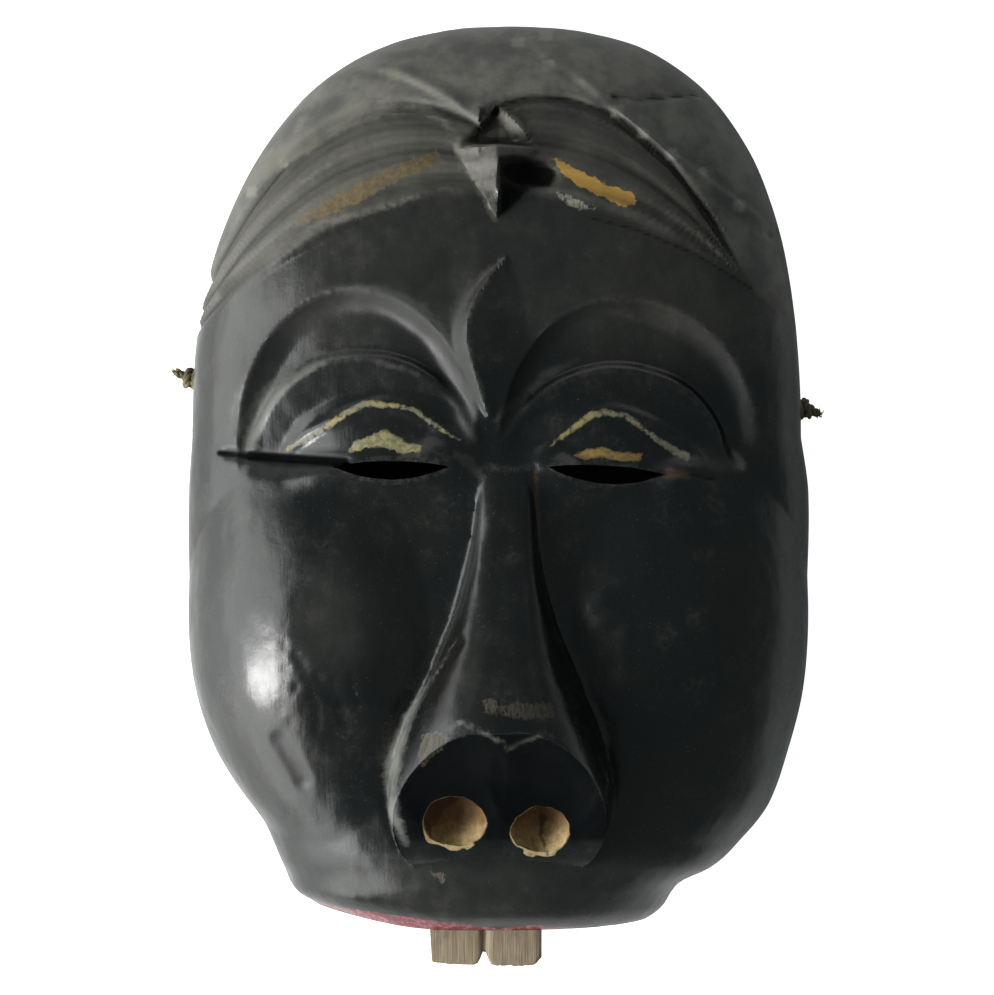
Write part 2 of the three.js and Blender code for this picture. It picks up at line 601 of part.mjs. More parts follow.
const mask = new THREE.Group();
function addPiece(name, geometry, material) {
  const piece = new THREE.Mesh(geometry, material);
  piece.name = name;
  mask.add(piece);
  return piece;
}
addPiece("mask_body", maskGeometry(), paintedWood);
addPiece("front_teeth", teethGeometry(), bareWood);
addPiece("head_cord", cordGeometry(), cordFibre);
cordHoles.forEach((hole) => {
  const knot = addPiece(`cord_knot_${hole.side}`, knotGeometry(hole), cordFibre);
  knot.position.set(wallOutsideX(hole) + hole.sign * touchGap, toBlankY(hole.y), cordHoleHeight);
  knot.rotation.z = (-hole.sign * Math.PI) / 2;
});

export default mask;
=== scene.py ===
import math

import bmesh
import bpy
import numpy as np
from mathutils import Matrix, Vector, noise
from mathutils.bvhtree import BVHTree


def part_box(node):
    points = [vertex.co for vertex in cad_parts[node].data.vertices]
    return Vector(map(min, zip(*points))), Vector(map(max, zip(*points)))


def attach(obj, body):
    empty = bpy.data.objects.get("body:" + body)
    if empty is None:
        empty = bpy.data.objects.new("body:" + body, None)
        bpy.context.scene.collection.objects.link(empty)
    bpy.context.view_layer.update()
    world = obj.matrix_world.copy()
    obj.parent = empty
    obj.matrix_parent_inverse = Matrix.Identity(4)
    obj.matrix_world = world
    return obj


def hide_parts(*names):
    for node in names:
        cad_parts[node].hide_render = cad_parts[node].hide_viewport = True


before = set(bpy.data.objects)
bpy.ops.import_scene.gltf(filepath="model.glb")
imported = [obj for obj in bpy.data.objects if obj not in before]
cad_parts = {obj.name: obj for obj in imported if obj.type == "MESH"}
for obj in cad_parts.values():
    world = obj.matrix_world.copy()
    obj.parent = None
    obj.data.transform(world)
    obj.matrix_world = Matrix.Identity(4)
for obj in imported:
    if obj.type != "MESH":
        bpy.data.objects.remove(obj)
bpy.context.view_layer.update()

bpy.ops.object.select_all(action="DESELECT")


# Camera
# The mask lies on its back on a pale table. The camera stands over it and looks straight down, a little
# below its middle, as the photograph does.
camera = bpy.data.objects.new("camera", bpy.data.cameras.new("camera"))
bpy.context.scene.collection.objects.link(camera)
camera.location = (0.0, -0.0017, 0.62)
camera.data.lens = 88.15
camera.data.sensor_width = 36
camera.data.sensor_fit = "HORIZONTAL"
camera.data.clip_start = 0.01
bpy.context.scene.camera = camera


# Head cord
# The cord that goes round the back of the head: three strands of coconut fibre laid up by hand, 2.6 mm
# thick. It is put through the hole at each temple from behind, and lies in loose bends inside the hollow.
MM = 0.001
cord_diameter = 2.6
cord_holes = {"left": (-73.19, 27.9, 14.0), "right": (73.35, 20.4, 14.0)}  # where it comes out of the wood
cord_bends = [
    (-59.5, 27.5, 12.2), (-56.5, 25.9, 8), (-54.5, 22.4, 3.6), (-53.5, 15.9, 1.6), (-53, 5.9, 1.5),
    (-51.5, -8.1, 1.5), (-49.5, -22.1, 1.5), (-46, -36.1, 1.5), (-40, -49.1, 1.5), (-31, -57.6, 1.5),
    (-20.5, -57.1, 1.5), (-14, -48.1, 1.5), (-10.5, -36.1, 1.5), (-5, -25.1, 1.5), (4, -20.6, 1.5),
    (12, -26.1, 1.5), (16, -37.1, 1.5), (19, -49.1, 1.5), (25, -58.6, 1.5), (34, -60.1, 1.5),
    (41, -52.1, 1.5), (45.5, -39.1, 1.5), (49, -24.1, 1.5), (51.5, -9.1, 1.5), (53, 2.9, 1.5),
    (54.5, 10.9, 1.6), (55.5, 15.9, 3.6), (57.5, 19.2, 8), (60, 20.3, 12.2),
]
left_end, right_end = cord_holes["left"], cord_holes["right"]
cord_route = np.array([(left_end[0] + 0.3, *left_end[1:]), (left_end[0] + 11.6, *left_end[1:]), *cord_bends,
                       (right_end[0] - 11.6, *right_end[1:]), (right_end[0] - 0.3, *right_end[1:])])


def smooth_line(points, step):
    """Points at an even step along a smooth line through the given ones."""
    chord = np.r_[0, np.cumsum(np.linalg.norm(np.diff(points, axis=0), axis=1) ** 0.5)]
    padded = np.vstack([2 * points[0] - points[1], points, 2 * points[-1] - points[-2]])
    knots = np.r_[2 * chord[0] - chord[1], chord, 2 * chord[-1] - chord[-2]]
    fine = []
    for i in range(1, len(padded) - 2):
        t0, t1, t2, t3 = knots[i - 1:i + 3]
        p0, p1, p2, p3 = padded[i - 1:i + 3]
        for t in np.linspace(t1, t2, 24, endpoint=False):
            a1 = p0 * (t1 - t) / (t1 - t0) + p1 * (t - t0) / (t1 - t0)
            a2 = p1 * (t2 - t) / (t2 - t1) + p2 * (t - t1) / (t2 - t1)
            a3 = p2 * (t3 - t) / (t3 - t2) + p3 * (t - t2) / (t3 - t2)
            b1 = a1 * (t2 - t) / (t2 - t0) + a2 * (t - t0) / (t2 - t0)
            b2 = a2 * (t3 - t) / (t3 - t1) + a3 * (t - t1) / (t3 - t1)
            fine.append(b1 * (t2 - t) / (t2 - t1) + b2 * (t - t1) / (t2 - t1))
    fine = np.array(fine + [points[-1]])
    along = np.r_[0, np.cumsum(np.linalg.norm(np.diff(fine, axis=0), axis=1))]
    places = np.linspace(0, along[-1], max(2, int(along[-1] / step)))
    return np.stack([np.interp(places, along, fine[:, k]) for k in range(3)], axis=1), places


def frames_along(line):
    """Two directions across a line at each of its points, which turn as little as they can."""
    ahead = np.gradient(line, axis=0)
    ahead /= np.linalg.norm(ahead, axis=1, keepdims=True)
    across = np.cross(ahead[0], (0.3, 0.2, 1.0))
    first = []
    for direction in ahead:
        across = across - direction * np.dot(across, direction)
        across = across / np.linalg.norm(across)
        first.append(across)
    first = np.array(first)
    return first, np.cross(ahead, first)


def tube(line, radii, sides):
    """Rings of points round a line, with the faces between them and a point at each end."""
    one, two = frames_along(line)
    count = len(line)
    angles = np.linspace(0, 2 * math.pi, sides, endpoint=False)[None, :]
    radii = np.broadcast_to(np.asarray(radii, float), (count,))[:, None, None]
    round_line = np.cos(angles)[..., None] * one[:, None, :] + np.sin(angles)[..., None] * two[:, None, :]
    rings = line[:, None, :] + radii * round_line
    points = np.vstack([rings.reshape(-1, 3), line[:1], line[-1:]])
    faces = []
    for i in range(count - 1):
        for k in range(sides):
            n = (k + 1) % sides
            faces.append((i * sides + k, i * sides + n, (i + 1) * sides + n, (i + 1) * sides + k))
    for k in range(sides):
        n = (k + 1) % sides
        faces.append((count * sides, n, k))
        faces.append((count * sides + 1, (count - 1) * sides + k, (count - 1) * sides + n))
    return points, faces


def mesh_piece(name, points, faces, material):
    """A smooth-shaded piece from points in millimetres."""
    mesh = bpy.data.meshes.new(name)
    mesh.from_pydata((np.asarray(points) * MM).tolist(), [], faces)
    mesh.materials.append(material)
    mesh.polygons.foreach_set("use_smooth", np.ones(len(mesh.polygons), bool))
    mesh.update()
    piece = bpy.data.objects.new(name, mesh)
    bpy.context.scene.collection.objects.link(piece)
    return piece


def join(parts):
    """One list of points and faces from several."""
    points, faces, start = [], [], 0
    for some, corners in parts:
        points.append(some)
        faces += [tuple(corner + start for corner in face) for face in corners]
        start += len(some)
    return np.vstack(points), faces


def laid_up(line, places, radius, pitch=6.5, strands=3, sides=7):
    """Strands twisted round a line, as thick over all as twice the radius."""
    one, two = frames_along(line)
    parts = []
    for k in range(strands):
        angle = 2 * math.pi * (places / pitch + k / strands)
        off = 0.5 * radius * (np.cos(angle)[:, None] * one + np.sin(angle)[:, None] * two)
        parts.append(tube(line + off, 0.5 * radius, sides))
    return join(parts)


def node(tree, kind, *values, **settings):
    """A shader node with its inputs set or linked in order. None leaves an input alone."""
    made = tree.nodes.new(kind)
    for key, value in settings.items():
        setattr(made, key, value)
    for socket, value in zip([s for s in made.inputs if s.enabled], values):
        if isinstance(value, bpy.types.NodeSocket):
            tree.links.new(value, socket)
        elif value is not None:
            socket.default_value = value
    return made


def sums(tree, operation, a, b):
    return node(tree, "ShaderNodeMath", a, b, operation=operation).outputs[0]


def times(tree, a, b):
    return sums(tree, "MULTIPLY", a, b)


def ramp(tree, value, low, high, to_low=0.0, to_high=1.0):
    """A value eased from low to high."""
    mapped = node(tree, "ShaderNodeMapRange", value, low, high, to_low, to_high,
                  interpolation_type="SMOOTHSTEP")
    return mapped.outputs[0]


def blend(tree, share, a, b):
    made = tree.nodes.new("ShaderNodeMix")
    made.data_type = "RGBA"
    for index, value in ((0, share), (6, a), (7, b)):
        if isinstance(value, bpy.types.NodeSocket):
            tree.links.new(value, made.inputs[index])
        else:
            made.inputs[index].default_value = value
    return made.outputs[2]


def coat(tree, colour, share, strength, over):
    """The colour with another laid over a share of it, at a strength."""
    return blend(tree, times(tree, share, strength), colour, over)


def speckle(tree, place, scale, detail=3.0, rough=0.55, stretch=None):
    """Soft noise over a place in millimetres, its grain 1 / scale wide."""
    if stretch:
        place = node(tree, "ShaderNodeVectorMath", place, stretch, operation="MULTIPLY").outputs[0]
    return node(tree, "ShaderNodeTexNoise", place, scale, detail, rough, noise_dimensions="3D").outputs[0]


def new_material(name):
    """A material, its tree, its surface shader and the place on the piece in millimetres."""
    material = bpy.data.materials.new(name)
    material.use_nodes = True
    tree = material.node_tree
    surface = tree.nodes["Principled BSDF"]
    place = node(tree, "ShaderNodeTexCoord").outputs["Object"]
    place = node(tree, "ShaderNodeVectorMath", place, (1000, 1000, 1000), operation="MULTIPLY").outputs[0]
    return material, tree, surface, place


def bump(tree, surface, height, distance):
    made = node(tree, "ShaderNodeBump")
    made.inputs["Distance"].default_value = distance * MM
    tree.links.new(height, made.inputs["Height"])
    tree.links.new(made.outputs[0], surface.inputs["Normal"])


cord_fibre, tree, surface, place = new_material("coconut fibre")
fibres = speckle(tree, place, 1.6, 4, 0.7)
dirt = speckle(tree, place, 0.12, 3)
colour = blend(tree, ramp(tree, fibres, 0.3, 0.7), (0.10, 0.083, 0.042, 1), (0.30, 0.25, 0.145, 1))
colour = blend(tree, ramp(tree, dirt, 0.42, 0.68, 0.0, 0.6), colour, (0.055, 0.045, 0.026, 1))
tree.links.new(colour, surface.inputs["Base Color"])
surface.inputs["Roughness"].default_value = 0.92
bump(tree, surface, fibres, 0.25)

cord_line, cord_places = smooth_line(cord_route, 0.8)
head_cord = mesh_piece("head_cord_fibre", *laid_up(cord_line, cord_places, cord_diameter / 2), cord_fibre)
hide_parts("head_cord")
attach(head_cord, "root")


# Cord knots
# A single knot in the same cord outside each hole keeps it from pulling through. Each has a short cut
# end, which has come apart into stiff fibres.
for side, sign, tail_turn in (("left", -1, 0.55), ("right", 1, 2.3)):
    hole = np.array(cord_holes[side])
    low, high = [np.array(corner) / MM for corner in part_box(f"cord_knot_{side}")]
    middle = (low + high) / 2
    route = [(-0.3, 0, 0), (0.8, 0, 0)]
    for k in range(11):
        angle = 0.6 + k * (2 * math.pi * 1.35) / 10
        route.append((1.5 + 0.25 * k, 1.75 * math.cos(angle), 1.75 * math.sin(angle)))
    route += [(4.3, 0.4, 0.2), (5.2, 1.0 * math.cos(tail_turn), 1.0 * math.sin(tail_turn)),
              (6.6, 1.9 * math.cos(tail_turn), 1.9 * math.sin(tail_turn))]
    route = np.array([(hole[0] + sign * a, hole[1] + b, hole[2] + c) for a, b, c in route])
    line, places = smooth_line(route, 0.35)
    parts = [laid_up(line, places, 1.15, pitch=5.0, sides=8)]
    rng = np.random.default_rng(5 if side == "left" else 9)
    end, ahead = line[-1], line[-1] - line[-4]
    ahead = ahead / np.linalg.norm(ahead)
    for _ in range(22):
        aim = ahead + rng.normal(0, 0.42, 3)
        start = end - 1.2 * ahead + rng.normal(0, 0.4, 3)
        reach = rng.uniform(0.6, 1.5)
        bend = start + reach * (ahead + aim) / 1.6
        fibre = np.array([start, start + 0.6 * reach * ahead, bend, start + 1.4 * reach * aim])
        fibre[:, 0] = np.clip(fibre[:, 0], low[0] + 0.1, high[0] - 0.1)
        thread, _ = smooth_line(fibre, 0.3)
        parts.append(tube(thread, np.linspace(0.26, 0.06, len(thread)), 5))
    knot = mesh_piece(f"knot_{side}_fibre", *join(parts), cord_fibre)
    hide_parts(f"cord_knot_{side}")
    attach(knot, "root")


# Carved body
# The mask is carved from one block of light, soft wood with chisels and a knife, hollowed from behind to
# go over the wearer's brow, nose and cheeks, and painted black on its front and sides with a satin oil paint.
mask_width, face_depth = 150, 58
side_wall, rim_thickness, face_thickness = 24, 9, 10
crown, lip = 112.6, -103.1  # on the carver's drawing, where all is 0.1 higher than on the part
dome = {"start": 13, "power": 2.38, "lean": 3.4, "lean_from": 32}
outline = {
    "left": [(0, .991), (.12, 1.003), (.35, .997), (.51, .967), (.64, .903), (.72, .838), (.8, .758),
             (.87, .71), (.93, .672), (1, .625)],
    "right": [(0, .989), (.12, 1.014), (.35, 1.004), (.51, .978), (.64, .94), (.76, .888), (.845, .785),
              (.89, .71), (.93, .592), (1, .53)],
}
forehead_start, forehead_power = 24, 2.5
depth_shares = [(-103, .86), (-95, .96), (-84, 1.02), (-60, 1), (-30, .98), (5, .96), (24, 1)]
section_power, rim_taper, upright = 2.35, 0.97, 0.12


def smooth(low, high, at):
    t = np.clip((at - low) / (high - low), 0, 1)
    return t * t * (3 - 2 * t)


def facet(low, high, at):
    """A straight cut from low to high with its two edges barely rounded."""
    t = np.clip((at - low) / (high - low), 0, 1)
    return 0.75 * t + 0.25 * t * t * (3 - 2 * t)


def bell(at, reach):
    return np.where(np.abs(at) < reach, (1 - (at / reach) ** 2) ** 2, 0)


def superellipse(at, power):
    return np.maximum(0, 1 - np.maximum(0, at) ** power) ** (1 / power)


def curve_through(points, at):
    """A smooth curve through (at, value) pairs."""
    x, y = np.array(points, float).T
    before = np.maximum(np.arange(len(x)) - 1, 0)
    after = np.minimum(np.arange(len(x)) + 1, len(x) - 1)
    slopes = (y[after] - y[before]) / (x[after] - x[before])
    i = np.clip(np.searchsorted(x, at, side="left") - 1, 0, len(x) - 2)
    span = x[i + 1] - x[i]
    t = np.clip((at - x[i]) / span, 0, 1)
    hold = t * t * (3 - 2 * t)
    bend = slopes[i] * t * (1 - t) ** 2 - slopes[i + 1] * t * t * (1 - t)
    return y[i] * (1 - hold) + y[i + 1] * hold + span * bend


def half_width(left, y, inset):
    half = mask_width / 2
    share = (y - dome["start"]) / (crown - inset - dome["start"])
    feet = np.where(left, outline["left"][0][1], outline["right"][0][1])
    above = (half * feet - inset) * superellipse(share, dome["power"])
    down = np.minimum((dome["start"] - y) / (dome["start"] - lip), 1)
    share = np.where(left, curve_through(outline["left"], down), curve_through(outline["right"], down))
    return np.where(y > dome["start"], above, half * share - inset)


def middle_depth(y, inset=0):
    share = (y - forehead_start) / (crown - inset - forehead_start)
    above = side_wall + (face_depth - inset - side_wall) * superellipse(share, forehead_power)
    below = face_depth * curve_through(depth_shares, np.maximum(y, lip)) - inset
    return np.where(y > forehead_start, above, below)


def blank_point(s, y, side_inset=0, face_inset=0):
    """A place on the uncarved block: s runs from -1 at the left rim over the face to 1 at the right rim."""
    half = half_width(s < 0, y, side_inset)
    lean = dome["lean"] * smooth(dome["lean_from"], crown, y)
    front = 1 - upright
    height = np.clip((1 - np.abs(s)) / upright, 0, 1)
    taper = rim_taper + (1 - rim_taper) * smooth(0, 1, height)
    angle = np.clip(s / front, -1, 1) * math.pi / 2
    across, out = np.abs(np.sin(angle)), np.abs(np.cos(angle))
    radius = (across ** section_power + out ** section_power) ** (-1 / section_power)
    depth = middle_depth(y, face_inset) - side_wall
    on_side = np.abs(s) > front
    x = lean + np.sign(s) * half * np.where(on_side, taper, across * radius)
    return x, np.where(on_side, side_wall * height, side_wall + depth * out * radius)


# Each eye lies under three arches: the brow, the fold of the lid and the lid's painted edge.
eyes = [
    {"side": -1, "x": -27, "y": 8, "brow": (-34, 10.6, 29.5, 27.5, 36, 2),
     "fold": (-32, 6.6, 28, 27.5, 25.5, 2), "lid": (-26, 7.6, 20, 25, 12.6, 1.4)},
    {"side": 1, "x": 28, "y": 6.5, "brow": (29, 10.6, 28.5, 33, 34, 2),
     "fold": (29, 6.6, 28, 26, 22.5, 2), "lid": (27, 5.6, 18, 22, 12.8, 1.4)},
]


def outside(arch, side, x, y):
    """How far a place is outside an arch, negative inside it."""
    middle, foot, inner, outer, height, power = arch
    dx, dy = x - middle, np.maximum(y - foot, 0)
    reach = np.where(dx * side > 0, outer, inner)
    share = ((np.abs(dx) / reach) ** power + (dy / height) ** power) ** (1 / power)
    radius = np.hypot(dx, dy)
    return np.where(share < 1e-3, -height, radius - radius / np.maximum(share, 1e-3))


def eye_relief(eye, x, y):
    foot = np.where(x < 0, 2, -1.5 + 5 * smooth(34, 46, x)) + 6 * smooth(24, 12, np.abs(x))
    present = smooth(foot, foot + 8, y) * smooth(66, 58, np.abs(x))
    from_brow = outside(eye["brow"], eye["side"], x, y)
    from_fold = outside(eye["fold"], eye["side"], x, y)
    from_lid = outside(eye["lid"], eye["side"], x, y)
    hollow = -3.8 * (1 - np.clip(1 + from_brow / 5.4, 0, 1) ** 2) * (from_brow < 0) * present
    fold = 2.2 * smooth(1.7, -1.7, from_fold) * np.exp(np.minimum(from_fold, 0) / 9) * present
    round_ = ((x - eye["x"]) / 25) ** 2 + ((y - eye["y"]) / 16) ** 2
    ball = 5.2 * np.maximum(0, 1 - round_) ** 1.2 * smooth(-3, eye["y"], y)
    edge = (0.5 * bell(from_lid, 2.8) - 0.5 * smooth(0.5, -3.5, from_lid)) * present
    return hollow + fold + ball + edge


def leaf_relief(x, y):
    """The leaf between the brows: a keel near its left edge, steep to the left and sloping to the right."""
    foot, tip = 16.5, 54.5
    v = np.clip((y - foot) / (tip - foot), 0, 1)
    left = curve_through([(foot, -2.4), (23.5, -6.4), (33.5, -10), (40, -9.6), (47, -5.6), (tip, 1.9)], y)
    right = curve_through([(foot, -1), (24, 3.5), (34, 7.4), (44, 6.2), (tip, 2.3)], y)
    keel = left + 3.3 * np.sin(math.pi * v) ** 0.6
    height = 3.4 * np.sin(math.pi * v) ** 0.55
    rise = facet(0, 1, (x - left) / np.maximum(keel - left, 1e-3))
    fall = np.clip((right - x) / np.maximum(right - keel, 1e-3), 0, 1) ** 1.2
    return height * np.minimum(rise, fall) * ((v > 0) & (v < 1))


cheeks = [(-46, -37, 31, 46, 8.5), (47, -38, 31, 46, 8.5)]


def cheek_relief(cheek, x, y):
    middle, up, reach_x, reach_y, height = cheek
    return height * np.maximum(0, 1 - ((x - middle) / reach_x) ** 2 - ((y - up) / reach_y) ** 2) ** 1.3


def muzzle_relief(x, y):
    swelling = 2.2 * smooth(-80, -90, y) * bell(x, 44)
    edge = np.maximum(0, lip + 4.5 - y) / 4.5
    return swelling - 2.4 * edge ** 2


def hairline(x):
    return 69.6 - 0.006 * x * x


def cap_edge(x):
    """The edge of the smooth cap, an arch on each side of the peak."""
    return np.where(x < -4, 90.3 - 0.017 * (x + 22) ** 2, 91.6 - 0.0185 * (x - 11) ** 2)


def hair_relief(x, y):
    """The band of hair, swept from the peak to each temple with grooved strands, under a smooth cap."""
    low = hairline(x)
    high = np.maximum(low, cap_edge(x))
    raised = 2.2 * facet(low - 1.2, low + 1.4, y) * smooth(74, 30, np.abs(x))
    share = (y - low) / np.maximum(high - low, 1e-3)
    inside = (share > 0) & (share < 1)
    locks, strands = np.sin(math.pi * share * 3) ** 2, np.sin(math.pi * share * 11) ** 2
    grooves = np.where(inside, 0.8 * locks + 0.22 * strands, 0)
    open_ = smooth(0, 8, high - low)
    return raised - grooves * open_ - 1.5 * bell(y - high, 2.2) * open_


def peak_relief(x, y):
    """The peak of the hair: a three-sided point under a small hollow, with a ledge between them."""
    foot, ledge, top, half = 63.3, 79.5, 90, 10
    off = np.abs(x)
    up = (y - foot) / (ledge - foot)
    wide = half * np.clip(up, 0, 1)
    cut = facet(ledge + 1.4, ledge, y)
    point = np.where(up > 0, 6.4 * np.maximum(0, 1 - off / np.maximum(wide, 1e-3)) ** 0.9 * cut, 0)
    over = (top - y) / (top - ledge)
    room = facet(1, 0.45, off / np.maximum(half * over, 1e-3))
    hollow = np.where((over > 0) & (over < 1.1), 2.4 * room * facet(ledge, ledge + 1.4, y), 0)
    along = np.clip((x - 0.4 + 88.8 - y) / 14, 0, 1)
    beside = np.abs((x - 0.4) - (88.8 - y)) / math.sqrt(2)
    swell = np.sin(math.pi * along)
    petal = 2.6 * np.maximum(0, 1 - (beside / (0.3 + 1.9 * swell ** 0.8)) ** 2) * swell ** 0.5
    return point - hollow + petal


cap_seams = [
    ([(4, 108.5), (19, 97.5), (37, 80.5), (66, 61.5)], 3.0, 1.2),
    ([(-32, 102), (-23, 99.4), (-16, 95.4), (-6, 89.5)], 2.4, 1.0),
]


def seam_relief(seam, x, y):
    points, width, height = seam
    first, last = points[0][0], points[-1][0]
    fade = smooth(first, first + 6, x) * smooth(last, last - 4, x) * ((x > first) & (x < last))
    return height * bell(y - curve_through(points, x), width) * fade


def carving(x, y):
    return (sum(eye_relief(eye, x, y) for eye in eyes) + sum(cheek_relief(cheek, x, y) for cheek in cheeks)
            + sum(seam_relief(seam, x, y) for seam in cap_seams)
            + leaf_relief(x, y) + muzzle_relief(x, y) + hair_relief(x, y) + peak_relief(x, y))


def spread(low, high, weight, at):
    """Places from low to high for shares 0 to 1, closer together where the weight is greater."""
    fine = np.linspace(low, high, 4001)
    sums_ = np.r_[0, np.cumsum(weight((fine[1:] + fine[:-1]) / 2))]
    return np.interp(at, sums_ / sums_[-1], fine)


def closed_grid(name, columns, rows, place):
    """A grid laid on a form by place(u, v), with a base between its two rims and an end at each end."""
    bpy.ops.mesh.primitive_grid_add(x_subdivisions=columns, y_subdivisions=rows, size=2)
    form = bpy.context.object
    form.name = name
    mesh = form.data
    flat = np.empty(len(mesh.vertices) * 3, np.float32)
    mesh.vertices.foreach_get("co", flat)
    flat = flat.reshape(-1, 3).astype(float)
    columns, rows = len(np.unique(flat[:, 0].round(5))) - 1, len(np.unique(flat[:, 1].round(5))) - 1
    u, v = np.rint((flat[:, 0] + 1) / 2 * columns) / columns, np.rint((flat[:, 1] + 1) / 2 * rows) / rows
    laid = np.stack(place(u, v), axis=1) * MM
    mesh.vertices.foreach_set("co", laid.astype(np.float32).ravel())
    index = {(int(round(a * columns)), int(round(b * rows))): k for k, (a, b) in enumerate(zip(u, v))}
    work = bmesh.new()
    work.from_mesh(mesh)
    work.verts.ensure_lookup_table()
    at = lambda i, j: work.verts[index[i, j]]
    for j in range(rows):
        work.faces.new((at(0, j), at(0, j + 1), at(columns, j + 1), at(columns, j)))
    for j in (0, rows):
        for i in range((columns + 1) // 2):
            ring = [at(i, j), at(i + 1, j), at(columns - 1 - i, j), at(columns - i, j)]
            ring = list(dict.fromkeys(ring))
            if len(ring) > 2:
                work.faces.new(ring)
    bmesh.ops.recalc_face_normals(work, faces=work.faces)
    bmesh.ops.triangulate(work, faces=work.faces)
    work.to_mesh(mesh)
    work.free()
    form.select_set(False)
    return form


def rows_wanted(y):
    """How closely the rows lie, closest over the eyes, the peak and the crown."""
    over_eyes, over_peak = 0.5 * np.exp(-((y - 24) / 30) ** 2), 0.4 * np.exp(-((y - 78) / 14) ** 2)
    return 1 + over_eyes + over_peak + 6 * np.exp(-(crown - y) / 1.2)


def outer_place(u, v):
    s = spread(-1, 1, lambda a: np.where(np.abs(a) > 0.86, 0.45, 1) + 0.5 * np.exp(-(a / 0.45) ** 2), u)
    y = spread(lip, crown - 0.004, rows_wanted, v)
    step = 1e-3
    x, z = blank_point(s, y)
    before, after = blank_point(np.maximum(s - step, -1), y), blank_point(np.minimum(s + step, 1), y)
    dx, dz = after[0] - before[0], after[1] - before[1]
    along = np.hypot(dx, dz)
    height = carving(x, y) * smooth(0, side_wall * 0.8, z)
    lift = 3.4 * smooth(-14, -50, x) * smooth(-94, lip, y)
    return x - height * dz / along, y - 0.1 + lift, z + height * dx / along


face_columns, face_rows = 286, 252
mask = closed_grid("carved_mask", face_columns, face_rows, outer_place)

# The nose widens from the bridge to the tip, and a slanting cut under the tip makes its underside.
nose_ridge = [(-90, 36), (-72, 31), (-60, 27.2), (-50, 23.4), (-38, 17.3), (-25, 11.2), (-12, 6.4), (0, 3.0),
              (10, -2), (20, -6)]
nose_half = [(-90, 17), (-84, 22.5), (-77, 25.6), (-68, 26.2), (-60, 24.6), (-52, 21.6), (-42, 17),
             (-32, 12.8), (-22, 9.8), (-10, 7.8), (20, 6.4)]
nose_power, nose_root = 2.15, 6
nose_low, nose_high = -90, 20
nose_lean_low, nose_lean_high = 2.6, 0.2  # how far the nose's middle is to the right at its two ends
nose_columns, nose_rows = 96, 120
foot_y, foot_slope = -87, 0.72


def nose_place(u, v):
    s, y = u * 2 - 1, nose_low + (nose_high - nose_low) * v
    angle = s * math.pi / 2
    across, out = np.abs(np.sin(angle)), np.abs(np.cos(angle))
    power = nose_power + 0.9 * smooth(-50, -20, y)
    radius = (across ** power + out ** power) ** (-1 / power)
    up = (nose_high - y) / (nose_high - nose_low)
    middle = nose_lean_low + (nose_lean_high - nose_lean_low) * up
    low = middle_depth(y) - nose_root
    return (middle + np.sign(s) * curve_through(nose_half, y) * across * radius, y - 0.1,
            low + (curve_through(nose_ridge, y) + nose_root) * out * radius)


nose = closed_grid("nose", nose_columns, nose_rows, nose_place)
foot_z = float(middle_depth(np.array(foot_y)))


def underside_height(x, y):
    """The lower face of the block that is cut away under the tip, with a shallow scoop on each side."""
    scoops = sum(1.7 * np.maximum(0, 1 - ((x - a) / 12.5) ** 2 - ((y - b) / 15) ** 2) ** 0.8
                 for a, b in ((-10, -64), (11, -64.5)))
    return foot_z + foot_slope * (y - foot_y) - scoops


def underside_place(u, v):
    x, y = -40 + 80 * u, -104 + 74 * v
    return x, y - 0.1, np.where((u < 0.004) | (u > 0.996), 190, underside_height(x, y))


def apply_boolean(target, tool, operation):
    """Joins the tool to the target, or cuts the target with it."""
    modifier = target.modifiers.new(operation.lower(), "BOOLEAN")
    modifier.object, modifier.operation, modifier.solver = tool, operation, "MANIFOLD"
    bpy.context.view_layer.objects.active = target
    bpy.ops.object.modifier_apply(modifier=modifier.name)


def cut_away(target, tool):
    """Cuts the target with the tool, which is then put away."""
    apply_boolean(target, tool, "DIFFERENCE")
    bpy.data.objects.remove(tool)


block_columns, block_rows = 130, 110
block = closed_grid("block", block_columns, block_rows, underside_place)
cut_away(nose, block)
apply_boolean(mask, nose, "UNION")
bpy.data.objects.remove(nose)

# The hollow is cut with a gouge, in long scallops that run down the mask.
cut_over = 2
inner_crown = crown - rim_thickness
hollow_columns, hollow_rows = 96, 88


def hollow_place(u, v):
    i, j = u * (hollow_columns + 2), v * (hollow_rows + 1)
    s = np.clip((i - 1) / hollow_columns, 0, 1) * 2 - 1
    share = np.clip((j - 1) / hollow_rows, 0, 1)
    y = spread(lip, inner_crown - 0.01, lambda a: 1 + 5 * np.exp(-(inner_crown - a) / 2.5), share)
    x, z = blank_point(s, y, rim_thickness, face_thickness)
    swell = 13 * np.maximum(0, 1 - (x / 17) ** 2 - ((y + 50) / 30) ** 2) ** 1.3
    swell = swell + sum(0.55 * cheek_relief(cheek, x, y) for cheek in cheeks)
    z = z + swell * smooth(side_wall, side_wall * 1.4, z)
    scallop = np.array([noise.voronoi(Vector((a * 0.11, b * 0.035 + 0.2 * math.sin(a * 0.3), c * 0.1)))[0][0]
                        for a, b, c in zip(x, y, z)])
    scallop = np.clip(scallop, 0, 0.9) ** 2
    z = z - 1.6 * scallop * smooth(side_wall * 0.9, side_wall * 1.3, z)
    x = x * (1 - 0.008 * scallop * smooth(2, 8, z))
    y = np.where(j < 0.5, lip - cut_over, y) - 0.1
    z = np.where((i < 0.5) | (i > hollow_columns + 1.5), -cut_over, z)
    return x, y, z


hollow = closed_grid("hollow", hollow_columns + 2, hollow_rows + 1, hollow_place)
hollow_tree = BVHTree.FromPolygons([v.co.copy() for v in hollow.data.vertices],
                                   [tuple(p.vertices) for p in hollow.data.polygons])
cut_away(mask, hollow)

